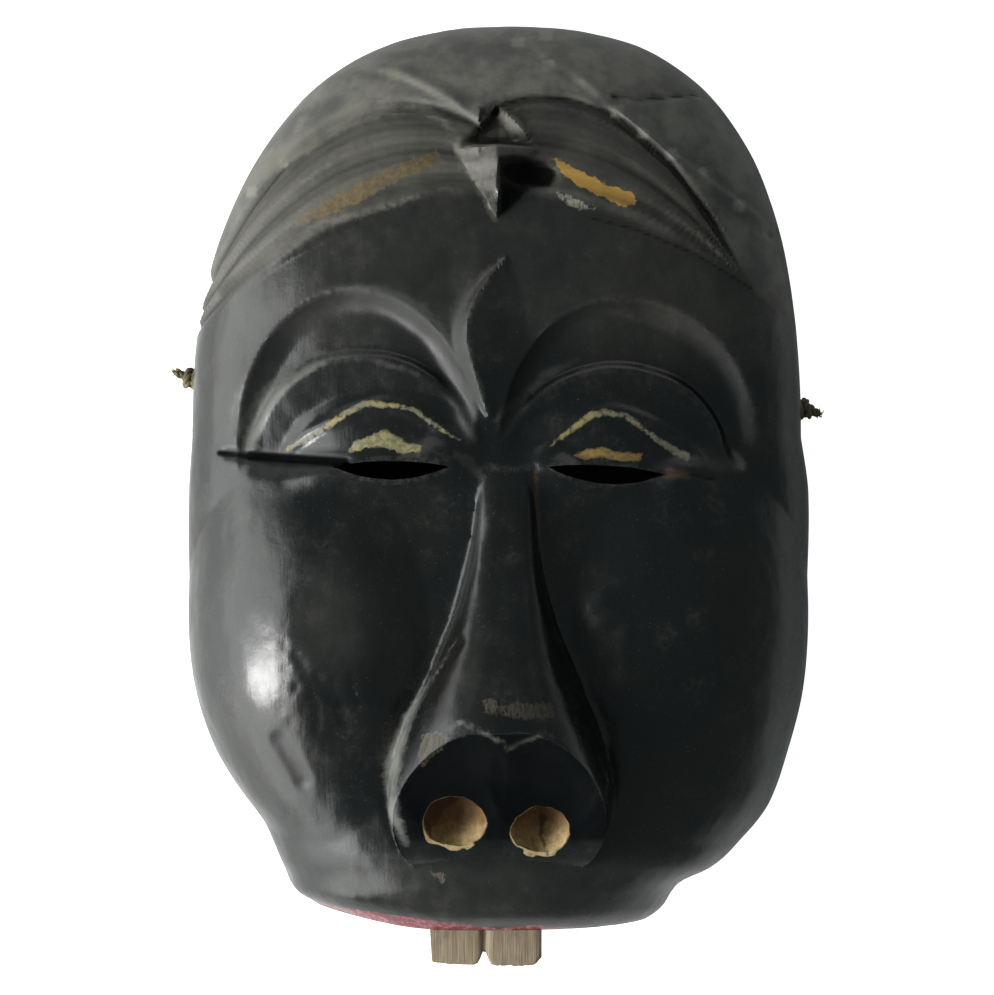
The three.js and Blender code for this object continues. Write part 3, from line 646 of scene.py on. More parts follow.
# The eye slits, the nostrils, the holes for the cord and the seat for the teeth are cut last.
def shell(name, rings):
    """A closed form through rings of as many points, each ring closed by a point in its middle."""
    sides, count = len(rings[0]), len(rings)
    points = np.vstack([*rings, rings[0].mean(0, keepdims=True), rings[-1].mean(0, keepdims=True)])
    faces = []
    for i in range(count - 1):
        for k in range(sides):
            n = (k + 1) % sides
            a, b, c, d = i * sides + k, i * sides + n, (i + 1) * sides + n, (i + 1) * sides + k
            faces += [(a, b, c), (a, c, d)]
    last = (count - 1) * sides
    faces += [(count * sides, (k + 1) % sides, k) for k in range(sides)]
    faces += [(count * sides + 1, last + k, last + (k + 1) % sides) for k in range(sides)]
    mesh = bpy.data.meshes.new(name)
    mesh.from_pydata((points * MM).tolist(), [], faces)
    work = bmesh.new()
    work.from_mesh(mesh)
    bmesh.ops.recalc_face_normals(work, faces=work.faces)
    work.to_mesh(mesh)
    work.free()
    form = bpy.data.objects.new(name, mesh)
    bpy.context.scene.collection.objects.link(form)
    return form


def all_round(count):
    """As many angles round a circle as the count."""
    return np.linspace(0, 2 * math.pi, count + 1)[:-1]


slit_length, slit_height, slit_splay, slit_inside = 27, 4.4, 2.5, 36
for name, slit_x, slit_y, tilt in (("slit_left", -24.5, 5.5, 0.0), ("slit_right", 25.5, 4.5, -0.06)):
    rings = []
    for grow, z in ((0, 70), (0, 60), (0, face_depth - 6), (slit_splay, slit_inside)):
        half = slit_length / 2 + grow
        t = np.linspace(0, 1, 25)[:-1]
        under, over = -slit_height * 1.4 - grow * 2, slit_height * 0.6 + grow * 2
        x = np.r_[-half + 2 * half * t, half - 2 * half * t]
        y = np.r_[2 * t * (1 - t) * under, 2 * t * (1 - t) * over]
        across = slit_x + x * math.cos(tilt) - y * math.sin(tilt)
        up = slit_y + x * math.sin(tilt) + y * math.cos(tilt)
        rings.append(np.stack([across, up, np.full(len(x), float(z))], axis=1))
    tool = shell(name, rings)
    cut_away(mask, tool)

nostril_radius, nostril_depth = 7.2, 9
nostrils = ((-9.6, -75.6, 1.0), (10, -77.6, 0.92))
pit_points, pit_faces = [], []
for number, (pit_x, pit_y, size) in enumerate(nostrils):
    radius = nostril_radius * size
    mouth = foot_z + foot_slope * (pit_y - foot_y)
    turn = math.pi / 2 + 0.45
    rings = []
    profile = [(0.02, -nostril_depth)]
    profile += [(radius * math.sin(a), -nostril_depth * math.cos(a))
                for a in np.linspace(0.1, math.pi / 2, 16)]
    profile += [(radius * 1.03, nostril_depth * 0.4), (radius * 1.15, nostril_depth * 1.5)]
    for k, (r, up) in enumerate(profile):
        a = all_round(44)
        rough, ridges = [], []
        for b in a:
            rough.append(noise.noise(Vector((2.2 * math.cos(b), 2.2 * math.sin(b), 0.35 * k + 7 * number))))
            ridges.append(noise.noise(Vector((5.5 * math.cos(b), 5.5 * math.sin(b), 0.12 * k + 3 * number))))
        r = r * (1 + 0.07 * np.array(rough) + 0.05 * np.array(ridges))
        x, z = r * np.cos(a), r * np.sin(a)
        rings.append(np.stack([pit_x + x, pit_y - 0.1 + up * math.cos(turn) - z * math.sin(turn),
                               mouth + up * math.sin(turn) + z * math.cos(turn)], axis=1))
    tool = shell("nostril", rings)
    start = len(pit_points)
    pit_points += [v.co.copy() for v in tool.data.vertices]
    pit_faces += [tuple(c + start for c in p.vertices) for p in tool.data.polygons]
    cut_away(mask, tool)
pit_tree = BVHTree.FromPolygons(pit_points, pit_faces)

hole_radius = 2
for side, sign in (("left", -1), ("right", 1)):
    x, y, z = cord_holes[side]
    a = all_round(24)
    rim_y, rim_z = y + hole_radius * np.cos(a), z + hole_radius * np.sin(a)
    rings = [np.stack([np.full(24, x + sign * out), rim_y, rim_z], axis=1) for out in (-14, -8, -3, 6)]
    tool = shell("cord_hole", rings)
    cut_away(mask, tool)

tooth_reach, tooth_inset, tooth_width, tooth_thickness, tooth_gap = 9.4, 11, 13.6, 4.5, 0.3
teeth_x, teeth_front, lip_y = -3, 44.68, -103.2
seat_low, seat_high = lip_y - cut_over, lip_y + tooth_inset + tooth_gap
seat_top, seat_bottom = teeth_front + tooth_gap, teeth_front - tooth_thickness - face_thickness
bpy.ops.mesh.primitive_cube_add(size=1)
tool = bpy.context.object
for vertex in tool.data.vertices:
    vertex.co = Vector(((teeth_x + vertex.co.x * 2 * (tooth_width + tooth_gap)) * MM,
                        ((seat_low + seat_high) / 2 + vertex.co.y * (seat_high - seat_low)) * MM,
                        ((seat_top + seat_bottom) / 2 + vertex.co.z * (seat_top - seat_bottom)) * MM))
cut_away(mask, tool)


def patch(points, x, y):
    """Distance in from the edge of a patch of the pattern, negative outside it."""
    inside = np.zeros(len(x), bool)
    for (x0, y0), (x1, y1) in zip(points, points[1:] + points[:1]):
        if y0 != y1:
            inside ^= ((y0 > y) != (y1 > y)) & (x < (x1 - x0) * (y - y0) / (y1 - y0) + x0)
    away = streak(points + points[:1], x, y)
    return np.where(inside, away, -away)


def streak(points, x, y):
    """Distance from a line of the pattern."""
    best = np.full(len(x), 1e3)
    for (x0, y0), (x1, y1) in zip(points, points[1:]):
        dx, dy = x1 - x0, y1 - y0
        t = np.clip(((x - x0) * dx + (y - y0) * dy) / (dx * dx + dy * dy), 0, 1)
        best = np.minimum(best, np.hypot(x - x0 - t * dx, y - y0 - t * dy))
    return best


def tapered(points, widths, x, y):
    """How far inside a stroke a place is. Its width changes from each point of the line to the next."""
    best = np.full(len(x), -1e3)
    for (x0, y0), (x1, y1), w0, w1 in zip(points, points[1:], widths, widths[1:]):
        dx, dy = x1 - x0, y1 - y0
        t = np.clip(((x - x0) * dx + (y - y0) * dy) / (dx * dx + dy * dy), 0, 1)
        best = np.maximum(best, (w0 + (w1 - w0) * t) / 2 - np.hypot(x - x0 - t * dx, y - y0 - t * dy))
    return best


def read(mesh, layer):
    """The places or the normals of a mesh's points."""
    values = np.empty(len(mesh.vertices) * 3, np.float32)
    if layer == "places":
        mesh.vertices.foreach_get("co", values)
    else:
        mesh.vertex_normals.foreach_get("vector", values)
    return values.reshape(-1, 3).astype(float)


def move_points(mesh, points):
    """Puts each point of a mesh at its new place in millimetres."""
    mesh.vertices.foreach_set("co", (points * MM).astype(np.float32).ravel())
    mesh.update()


points = read(mask.data, "places") / MM
pairs = np.empty(len(mask.data.edges) * 2, np.int32)
mask.data.edges.foreach_get("vertices", pairs)
pairs = pairs.reshape(-1, 2)
degree = np.bincount(pairs.ravel(), minlength=len(points)).astype(float)[:, None]


def around(values):
    """The mean of the values at the neighbours of each point."""
    total = np.zeros_like(values)
    np.add.at(total, pairs[:, 0], values[pairs[:, 1]])
    np.add.at(total, pairs[:, 1], values[pairs[:, 0]])
    return total / degree


# The crease beside the bridge of the nose is rounded with a gouge.
hollow_gap = np.array([min(hollow_tree.find_nearest(Vector(p * MM))[3] / MM, 6) for p in points])
normals = read(mask.data, "normals")
bend = np.einsum("ij,ij->i", points - around(points), normals)[:, None]
x, y, z = points[:, :1], points[:, 1:2], points[:, 2:]
crease = ((bend < -0.07) & (np.abs(x) < 30) & (y > -62) & (y < 10) & (z > 45)).astype(float)
for _ in range(5):
    crease = np.maximum(crease, 0.86 * around(crease) + 0.1 * (around(crease) > 0.05))
crease = np.clip(crease, 0, 1) * smooth(-64, -50, y) * smooth(10, 2, y)
crease = crease * smooth(12.5, 10, np.abs(x) * (y > -6))
beside_nose = [(-7, -14), (-8, -24), (-9.4, -34.2), (-13.8, -40.6), (-18, -47.1), (-21.5, -52)]
crease = np.maximum(crease, bell(streak(beside_nose, *points[:, :2].T), 4)[:, None] * smooth(-54, -46, y))
off_hollow = smooth(0.5, 2, hollow_gap)[:, None]
crease = crease * off_hollow
root = bell(np.hypot((x - 1.2) / 9.5, (y - 3) / 11), 1) * (z > 40) * off_hollow
for turn in range(60):
    share = np.maximum(crease * (turn < 30), np.minimum(1.5 * root, 1))
    points = points + 0.6 * share * (around(points) - points)

# Finishing cuts with the knife: grooves from the eye slits, the wings of the nose, cracks and knocks.
move_points(mask.data, points)
normals = read(mask.data, "normals")
x, y, z = points.T
front = smooth(0.05, 0.3, normals[:, 2]) * smooth(16, 26, z)
pit_gap = np.array([min(pit_tree.find_nearest(Vector(p * MM))[3] / MM, 6) for p in points])
outer = smooth(0.3, 1.5, hollow_gap)
wing_left = [(-9.4, -34.2), (-13.8, -40.6), (-18, -47.1), (-21.5, -52), (-24.6, -59), (-26.2, -66),
             (-25.4, -73), (-22.5, -81)]
wing_right = [(13.5, -38), (16.6, -46), (21.5, -55.5), (25.4, -63.5), (26.2, -68.5), (24.6, -75), (20.5, -81)]
slit_groove_left = [(-64, 8.6), (-58.4, 8.1), (-46.2, 7.2), (-35.3, 6.4)]
slit_groove_right = [(38.5, 4.6), (43, 4.0), (50.5, 2.6)]
cap_crack = [(27.4, 92.3), (33.6, 91.9), (40.9, 93), (49.4, 94.9)]
cheek_gash = [(-50.5, -57.8), (-47.9, -62), (-45.2, -67.2)]
cuts = [  # line, width and height
    (slit_groove_left, 1.7, -0.9), (slit_groove_right, 1.5, -0.6), (cap_crack, 0.9, -0.6),
    (cheek_gash, 3.0, -0.6), ([(-41.2, -42.6), (-38.3, -48.2)], 1.5, -0.3),
    ([(-37.8, -44.6), (-34.9, -53.3)], 1.6, -0.3), ([(-33.5, -42), (-31.5, -50)], 1.4, -0.25),
    ([(-46, -38), (-42, -46), (-41, -54)], 1.8, -0.25), (wing_left, 2.4, -0.45), (wing_right, 2.2, -0.2),
    ([(-54, -93.5), (-34, -90.4), (-18, -88.6), (0, -88.6), (20, -88.8), (46, -92.5)], 4.2, -0.45),
    (cap_seams[0][0], 3.0, -0.85), ([(4.5, 73.5), (11, 73)], 4.5, -1.5),
]
# The underside of the nose, which the paint below darkens nearly to black as painted shade.
under = smooth(0.55, 0.2, np.abs(z - underside_height(x, y + 0.1))) * smooth(-0.25, -0.4, normals[:, 1])
under = under * smooth(28, 27, np.abs(x)) * smooth(-86.4, -85.6, y) * (1 - 0.7 * smooth(-75, -84, y))
relief = sum(depth * bell(streak(line, x, y), width) for line, width, depth in cuts)
places = [Vector(p) for p in points]
knife, ripple, dents = (
    np.array([noise.noise(Vector((p.x * across + shift, p.y * up, p.z * across))) for p in places])
    for across, up, shift in ((0.10, 0.075, 0), (0.33, 0.22, 0), (0.42, 0.42, 9)))
relief = relief + 0.30 * knife + 0.07 * ripple
rubbed = bell(np.hypot((x + 42) / 1.2, (y + 40) / 1.9), 15)
relief = relief - 0.35 * np.maximum(0, dents - 0.1) * rubbed
points = points + normals * (relief * front * outer * smooth(0.0, 0.8, pit_gap))[:, None]
move_points(mask.data, points)
normals = read(mask.data, "normals")
x, y, z = points.T

# Where the colours, the wear and the painted light and shade are: each is a distance in from an edge, in
# millimetres.
def strokes_at(strokes):
    """How far inside the nearest of some tapered strokes each point is."""
    return np.max([tapered(line, widths, x, y) for line, widths in strokes], axis=0)


def patches_at(patches):
    """How far inside the nearest of some patches each point is."""
    return np.max([patch(edge, x, y) for edge in patches], axis=0)


gold_leaf = [
    [(-14.2, 79.1), (-12.3, 76.6), (-22.5, 72), (-29.5, 68.4), (-36.5, 65.2), (-46.1, 61.8), (-47.1, 63.7),
     (-38.9, 67.6), (-31.9, 71.7), (-22.5, 75.8)],
    [(13.2, 77), (19, 74.2), (25, 71.2), (31.3, 69.2), (33, 66.7), (29.3, 65.5), (24.1, 68.2), (19, 70.3),
     (14.8, 73.7)],
]
lid_patches = [
    [(-34.6, 9.1), (-33.2, 11.2), (-29.4, 12.6), (-26, 13.9), (-22.5, 12.1), (-20.4, 10.7), (-17.4, 10.5),
     (-17.6, 8.8), (-22.5, 8.6), (-26.2, 10.2), (-29.9, 10), (-32.3, 8.9)],
    [(17.6, 7.9), (20.4, 9.3), (25, 10), (27.3, 8.8), (33.9, 8.6), (33.4, 6.8), (28.5, 6.8), (23.9, 7.9),
     (20.4, 7.2)],
]
lid_lines = [
    ([(-49.4, 9.7), (-44, 12.2), (-39.4, 15), (-34.7, 18.2), (-30.9, 20), (-27.2, 20), (-23, 19.5),
      (-19, 18.6), (-16.2, 16.3), (-12.1, 13.5), (-8.5, 11.4)],
     [0.8, 1.3, 1.1, 1.5, 1.3, 1.2, 0.8, 1.0, 1.0, 0.6, 0.1]),
    ([(12.6, 10.6), (17.6, 14.2), (21.8, 17.4), (25.3, 18.1), (29.9, 17.2), (34.2, 14.2), (38.4, 11),
      (44, 7.8)], [0.5, 1.1, 1.5, 1.3, 1.1, 1.0, 1.2, 2.0]),
]
rust_strokes = [
    ([(39.8, 4.0), (44.5, 3.2)], [2.6, 1.6]), ([(64.8, 46.3), (68.6, 42.4)], [1.8, 1.8]),
    ([(8.9, 4.5), (9.3, -4), (9.8, -14)], [0.8, 1.0, 0.3]),
]
# Worn paint, with painted highlights on edges that face the window: the brow bevels, the left brow's outer
# edge, the lid folds, the leaf, the left wing of the nose and the left facet of the peak.
worn_and_lit_strokes = [
    ([(-9.6, 8.4), (-6.5, 6.6), (-3.8, 3.2)], [1.2, 2.8, 1.2]),
    ([(-3, 5.6), (2, 4.6), (7.4, 5.4)], [0.2, 1.2, 0.6]),
    ([(-36.1, 46.6), (-26.7, 45.2), (-18.3, 41.2), (-11.1, 33.8), (-8.1, 30.7), (-4.8, 23.5), (-5.3, 16.2)],
     [1.5, 4.4, 4.6, 3.2, 2.2, 2.6, 1.0]),
    ([(1.4, 53.5), (-6, 47.2), (-9.2, 41.2), (-8.6, 33.7), (-6.8, 29.0)], [0.6, 1.6, 3.2, 3.6, 2.6]),
    ([(-59.1, 31.4), (-60.6, 26), (-62.4, 12.6)], [0.6, 1.6, 0.5]),
    ([(-61.1, 13.8), (-54.6, 23.6), (-43.7, 31.6), (-36.6, 32.2), (-28.4, 30.3), (-18, 27)],
     [2.2, 1.8, 1.2, 1.2, 0.9, 0.5]),
    ([(0, 16.2), (5.3, 21.4), (11.1, 26.7), (18.1, 30.2)], [0.8, 1.8, 2.0, 0.8]),
    ([(26, 41.6), (35.7, 39.3), (39.1, 37.9), (42.4, 35.7)], [0.3, 1.0, 1.2, 0.5]),
    ([(45.2, 7.8), (52.5, 5.3)], [1.2, 0.7]),
    ([(-8.6, -33), (-13.2, -40.6), (-17.4, -47.1), (-20.5, -52.5), (-23.4, -60), (-24.4, -66), (-23.8, -73),
      (-21, -80.5)], [-1.2, -0.4, 0.6, 2.2, 3.8, 3.8, 3.0, 1.4]),
    ([(-13, -55), (-7.8, -51.4), (1.3, -55.9), (2.3, -57.6), (10.2, -53.9), (16.3, -56.4)],
     [-0.4, 0.5, 0.1, 0.3, 0.3, -0.8]),
    ([(23, -60), (25.2, -66), (24.6, -73)], [-1.2, -0.5, -1.0]),
    ([(-9, 77.4), (-9.1, 81.8), (-13.3, 86.9), (-18.5, 89.7), (-27, 89.5), (-36.5, 87.3), (-47.4, 81.3),
      (-58.5, 74.9), (-64.2, 70)], [0.8, 1.2, 1.4, 1.4, 2.6, 4.6, 5.4, 4.4, 2.6]),
    ([(-29.4, 99.9), (-22.9, 97.6), (-16.4, 93.5), (-10.3, 89.4), (-6.1, 87.7)], [0.7, 1.2, 1.0, 0.9, 0.4]),
    ([(-1.4, 93.8), (-2.3, 89)], [0.3, 0.8]),
    ([(-18.3, 68.2), (-30.9, 64.2), (-41.3, 62.3), (-57.6, 52.5), (-65, 47.7)], [0.5, 0.8, 1.8, 3.0, 3.4]),
    ([(-9, 77.6), (-4.4, 70.5), (-0.7, 63.3)], [1.2, 1.0, 1.2]),
    ([(-9, 78.4), (-5.1, 79), (0.7, 79.4), (7.6, 78.8)], [1.0, 1.5, 1.2, 1.6]),
    ([(0.6, 88.4), (3.6, 85.4), (7, 81.8)], [1.0, 3.2, 1.6]),
    ([(-33.5, -42), (-31.5, -50)], [-1.4, -0.6]),
]
pale_facet = [(-9, 78.9), (-0.6, 77.8), (-0.9, 64.4)]
chips = [
    [(-3.1, -47), (-1.6, -46), (0, -47.1), (-0.2, -49.5), (-2.7, -49.3)],
    [(0.4, -48), (5.1, -47.4), (12.3, -47.7), (12.9, -50.5), (7.3, -50.8), (0.9, -50.3)],
    [(-16.9, -55.1), (-13.6, -54.1), (-10.7, -55.1), (-12.2, -57.8), (-15.4, -60.2), (-16.3, -62.3),
     (-17.6, -60.8)],
    [(13.7, 69.1), (18.1, 67.7), (23, 65.4), (19.2, 65.0), (15.1, 67)],
    [(-15.4, -88), (-11.7, -88.4), (-12.7, -90.8)],
]
spots = [  # place and half width
    (11.9, 99.9, 1.5), (19.1, 95, 1.4), (28, 88.6, 1.5), (34.1, 83.4, 1.2), (40.9, 78.6, 1.3),
    (48.3, 74.9, 1.1), (57.3, 67.3, 1.3), (-58.6, 71.5, 1.3), (-50.6, 77.6, 1.0), (5, 106.4, 1.5),
    (11.7, 108.4, 1.6),
]
pit_shadows = [
    ([(10.6, -76.6), (10, -79.5), (11.8, -84)], [1.0, 0.9, 0.6]),
    ([(-12, -70.2), (-15.2, -72.5), (-16, -76), (-15.2, -79)], [0.6, 1.6, 1.6, 0.6]),
    ([(-14.6, -76.6), (-13, -72.4), (-9.6, -71)], [1.2, 3.0, 1.6]),
]
# Painted shade: near-black lines down the grooves from the eye slits and along the hair band, a dark line
# along the crack, and near-black patches in the hollows by the peak.
shaded_lines = [  # line and width
    (cap_crack, -0.1), (slit_groove_left[1:], 1.7), (slit_groove_right, -0.4),
    ([(-66, 8.8), (-58.4, 8.1)], 0.8),
    ([(0.4, 89.6), (8, 92.4), (18, 91.4), (28, 87.8), (40, 77), (52, 62)], 0.1),
    ([(20, 63.6), (32, 60.6), (46, 55.4), (60, 47.6)], 0.1),
]
shaded_hollows = [  # edge and greatest depth
    ([(-8.6, 79.9), (-3.4, 85.6), (-0.6, 87.6), (0.2, 84), (0, 80.4)], -0.15),
    ([(0.6, 76.4), (5, 77.2), (10.6, 76), (13.4, 73.6), (12.2, 70.6), (7.6, 70), (4.6, 67.2), (1.2, 64)],
     0.1),
]
# Painted highlight along the left lid's fold, the edge that faces the window.
fold_width = np.interp(x, [-64, -60, -50, -42, -32], [1.2, 1.7, 1.4, 0.8, -0.6])
from_fold = np.abs(outside(eyes[0]["fold"], -1, x, y) + 0.9)
lip_width = np.interp(x, [-43, -32, -20, -8, 0, 8, 21], [1.2, 2.7, 3.2, 2.0, 0.6, 1.6, 0.1])
lip_ends = np.min([0.8 * (x + 45), 0.8 * (22 - x), 0.4 * (z - 29)], axis=0)
matte = sum(bell(outside(eye["brow"], eye["side"], x, y) + 2, 4.5) * smooth(8, 14, y) for eye in eyes)
matte = matte + bell(np.hypot((x + 7) / 0.6, (y - 34) / 2), 14)
for line, reach in ((slit_groove_left, 4.5), (slit_groove_right, 5), (cheek_gash, 4.5)):
    matte = matte + bell(streak(line, x, y), reach)
matte = matte + 0.8 * bell(np.hypot(x - 54, y - 9), 6) + 0.6 * bell(np.hypot(x + 42, (y + 86) / 0.8), 11)
weathered = smooth(22, 44, y) * smooth(8, 34, np.abs(x) + 0.5 * y)
weathered = np.maximum(weathered, smooth(-82, -89, y) * smooth(-44, -12, x))
over_pit = y - np.where(x < 0, nostrils[0][1], nostrils[1][1])
painted_rim = smooth(-3, 1, over_pit) * smooth(1.0, 0.3, underside_height(x, y) - z)
pale_rim = smooth(-2, -7, over_pit) * smooth(0.55, 0.75, 0.5 + np.where(x < 0, 0.16, 0.1) + 0.3 * ripple)
above_hairline, above_cap_edge = y - hairline(x), y - cap_edge(x)
band_width = np.minimum(above_hairline, 20) - np.minimum(above_cap_edge, 20)
band_share = np.clip(np.minimum(above_hairline, 20) / np.maximum(band_width, 1e-3), 0, 1)
strand = 0.7 * np.cos(3 * math.pi * band_share) ** 4 + 0.4 * np.cos(11 * math.pi * band_share) ** 2
strand = strand * smooth(0.08, 0.2, band_share) * smooth(0.95, 0.85, band_share)
sharp = np.einsum("ij,ij->i", points - around(points), normals)
for _ in range(4):
    sharp = 0.5 * sharp + 0.5 * around(sharp[:, None])[:, 0]
off_grooves = np.minimum(streak(slit_groove_left, x, y), streak(slit_groove_right, x, y))
# This keeps a stroke off the sides of the mask, which lie under the same x and y.
face_only = 4 * smooth(24, 16, z)
fields = {
    "gold": patches_at(gold_leaf) - face_only,
    "lid_yellow": patches_at(lid_patches),
    "lid_edge": strokes_at(lid_lines) - face_only,
    "rust": strokes_at(rust_strokes),
    "under": under,
    "fold_highlight": np.where((x < -28) & (y > 9), fold_width - from_fold, -9),
    "matte": np.minimum(matte, 1),
    "lip_red": np.minimum(lip_width - (y + 103.2 - 3.4 * smooth(-14, -50, x)), lip_ends),
    "hair": above_hairline,
    "cap": above_cap_edge,
    "strand": strand * smooth(3, 9, band_width) * np.where(x < -4, 1, 0.4),
    "dull": weathered + 1.3 * bell(np.hypot((x + 38) / 1.0, (y + 30) / 1.5), 14),
    "bare_back": np.maximum(0.6 - hollow_gap, 0.5 - z),
    "pit": 0.35 - pit_gap - 0.27 * painted_rim + 1.3 * pale_rim,
    "pit_shade": np.maximum(1.1 - np.hypot(x - 10.6, y + 75.8), strokes_at(pit_shadows)),
    "worn_and_lit": np.maximum(strokes_at(worn_and_lit_strokes), np.minimum(patch(pale_facet, x, y), -0.15)) - face_only,
    "chipped": patches_at(chips),
    "spots": np.max([half - np.maximum(np.abs(x - a), np.abs(y - b)) for a, b, half in spots], axis=0)
    - 4 * smooth(22, 14, z),
    "crevice_shade": np.max([width / 2 - streak(line, x, y) for line, width in shaded_lines]
                    + [np.minimum(patch(edge, x, y), most) for edge, most in shaded_hollows], axis=0),
    "edge": sharp * (1 - np.clip(3 * crease[:, 0], 0, 1)) * smooth(2.2, 3.6, off_grooves),
}
for name, values in fields.items():
    layer = mask.data.attributes.new(name, "FLOAT", "POINT")
    layer.data.foreach_set("value", np.clip(values, -9, 20).astype(np.float32))
for name in [a.name for a in mask.data.attributes if a.name == "UVMap"]:
    mask.data.attributes.remove(mask.data.attributes[name])

mask_paint, tree, surface, place = new_material("worn black oil paint on carved wood")


def field(tree, name):
    return node(tree, "ShaderNodeAttribute", attribute_name=name).outputs["Fac"]


def torn(tree, value, ragged, amount, soft=0.12):
    """A field turned into a mask with a ragged edge."""
    moved = sums(tree, "ADD", value, times(tree, sums(tree, "SUBTRACT", ragged, 0.5), amount))
    return ramp(tree, moved, -soft, soft)


# The paint from the ground up: black oil paint, dusty grey hair, then wear, colours, bare wood and dirt.
# With them go painted light and shade: a lighter cap on the left, painted highlights on lit edges, and
# painted shade in recesses, grooves, hollows, nostrils and under the nose.
broad = speckle(tree, place, 0.03, 2)
cloud = speckle(tree, place, 0.11, 4, 0.6)
fine = speckle(tree, place, 0.75, 4, 0.65)
grit = speckle(tree, place, 2.4, 3, 0.7)
drag = speckle(tree, place, 1.0, 3, 0.6, stretch=(1.6, 0.16, 0.5))
along_x, along_y, _ = node(tree, "ShaderNodeSeparateXYZ", place).outputs
east, far_right = ramp(tree, along_x, -8, 8), ramp(tree, along_x, 15, 50)
black = blend(tree, ramp(tree, broad, 0.35, 0.65), (0.0038, 0.0052, 0.0058, 1), (0.0075, 0.0078, 0.0068, 1))
dull = times(tree, sums(tree, "MINIMUM", field(tree, "dull"), 1), ramp(tree, cloud, 0.2, 0.7, 0.5, 1.0))
black = blend(tree, dull, black, blend(tree, far_right, (0.025, 0.025, 0.023, 1), (0.04, 0.038, 0.032, 1)))
band = blend(tree, ramp(tree, cloud, 0.35, 0.7), (0.030, 0.028, 0.024, 1), (0.062, 0.058, 0.047, 1))
strands = times(tree, field(tree, "strand"), ramp(tree, fine, 0.25, 0.8, 0.5, 1.0))
band = blend(tree, strands, band, (0.125, 0.119, 0.100, 1))
cap = blend(tree, ramp(tree, cloud, 0.35, 0.7), (0.060, 0.059, 0.054, 1), (0.142, 0.136, 0.116, 1))
# Painted light: the cap's paint is lighter on the left, the window side, and darker to the right.
painted_lit_cap = blend(tree, ramp(tree, cloud, 0.35, 0.7), (0.076, 0.075, 0.069, 1), (0.178, 0.170, 0.146, 1))
cap = blend(tree, far_right, painted_lit_cap, cap)
dusty = blend(tree, ramp(tree, field(tree, "cap"), -1, 3), band, cap)
hair_share = ramp(tree, sums(tree, "ADD", field(tree, "hair"), times(tree, fine, 2.0)), -0.5, 2.5)
colour = blend(tree, hair_share, black, dusty)
dust = times(tree, ramp(tree, cloud, 0.5, 0.78), ramp(tree, fine, 0.35, 0.7))
nicks = ramp(tree, fine, 0.45, 0.62, 0.0, 0.8)
colour = coat(tree, colour, ramp(tree, grit, 0.63, 0.69), nicks, (0.10, 0.098, 0.085, 1))
colour = coat(tree, colour, dust, 0.35, (0.075, 0.072, 0.062, 1))
# Painted shade: the underside of the nose is darkened nearly to black.
under = ramp(tree, field(tree, "under"), 0.3, 0.7)
colour = blend(tree, under, colour, (0.0010, 0.0018, 0.0024, 1))
# Painted shade: the paint is darkened in the hollows of the carved hair, where shade falls.
painted_recess_shade = times(tree, ramp(tree, field(tree, "edge"), -0.012, -0.07), hair_share)
colour = coat(tree, colour, painted_recess_shade, 0.75, (0.012, 0.011, 0.009, 1))
# Rubbed paint and painted highlight: the paint is lightened along the sharp outward edges.
rub_and_edge_highlight = times(tree, ramp(tree, field(tree, "edge"), 0.02, 0.10), ramp(tree, fine, 0.36, 0.62))
colour = coat(tree, colour, rub_and_edge_highlight, 0.3, (0.075, 0.073, 0.065, 1))
# Worn paint and painted highlights on lit edges. Their grey is darker between the nose and the hair than
# above and below.
worn_and_lit = times(tree, torn(tree, field(tree, "worn_and_lit"), fine, 2.6, 0.9), ramp(tree, cloud, 0.3, 0.62, 0.4, 1.0))
worn_and_lit_colour = blend(tree, ramp(tree, along_y, -40, -20), (0.16, 0.161, 0.146, 1), (0.052, 0.053, 0.049, 1))
worn_and_lit_colour = blend(tree, ramp(tree, along_y, 46, 62), worn_and_lit_colour, (0.17, 0.162, 0.135, 1))
colour = coat(tree, colour, worn_and_lit, 0.85, worn_and_lit_colour)
# Painted highlight: a pale, ragged strip along the left lid's fold.
fold_highlight = times(tree, torn(tree, field(tree, "fold_highlight"), fine, 2.2, 1.0), ramp(tree, cloud, 0.3, 0.6, 0.5, 1.0))
colour = coat(tree, colour, fold_highlight, 0.8, (0.115, 0.117, 0.106, 1))
gold = torn(tree, field(tree, "gold"), fine, 3.2)
old_gold = blend(tree, ramp(tree, fine, 0.3, 0.75), (0.085, 0.062, 0.032, 1), (0.165, 0.115, 0.044, 1))
gold_colour = blend(tree, east, old_gold, (0.40, 0.235, 0.05, 1))
gold_wear = times(tree, gold, sums(tree, "MAXIMUM", east, ramp(tree, cloud, 0.34, 0.56, 0.45, 1.0)))
colour = blend(tree, gold_wear, colour, gold_colour)
lids = torn(tree, field(tree, "lid_yellow"), fine, 2.2, 0.3)
lid_colour = blend(tree, east, (0.25, 0.225, 0.11, 1), (0.28, 0.17, 0.045, 1))
lid_colour = blend(tree, ramp(tree, fine, 0.4, 0.62, 0.0, 0.75), lid_colour, (0.10, 0.085, 0.045, 1))
colour = blend(tree, lids, colour, lid_colour)
lid_edge = torn(tree, field(tree, "lid_edge"), fine, 1.7, 0.35)
lid_edge = times(tree, lid_edge, ramp(tree, fine, 0.34, 0.52, 0.45, 1.0))
edge_colour = blend(tree, ramp(tree, cloud, 0.42, 0.6), (0.17, 0.165, 0.125, 1), (0.27, 0.22, 0.085, 1))
colour = blend(tree, lid_edge, colour, edge_colour)
rust = torn(tree, field(tree, "rust"), fine, 1.6, 0.5)
colour = coat(tree, colour, rust, 0.6, (0.062, 0.032, 0.015, 1))
red = times(tree, torn(tree, field(tree, "lip_red"), fine, 1.4, 0.3), ramp(tree, cloud, 0.3, 0.42, 0.5, 1.0))
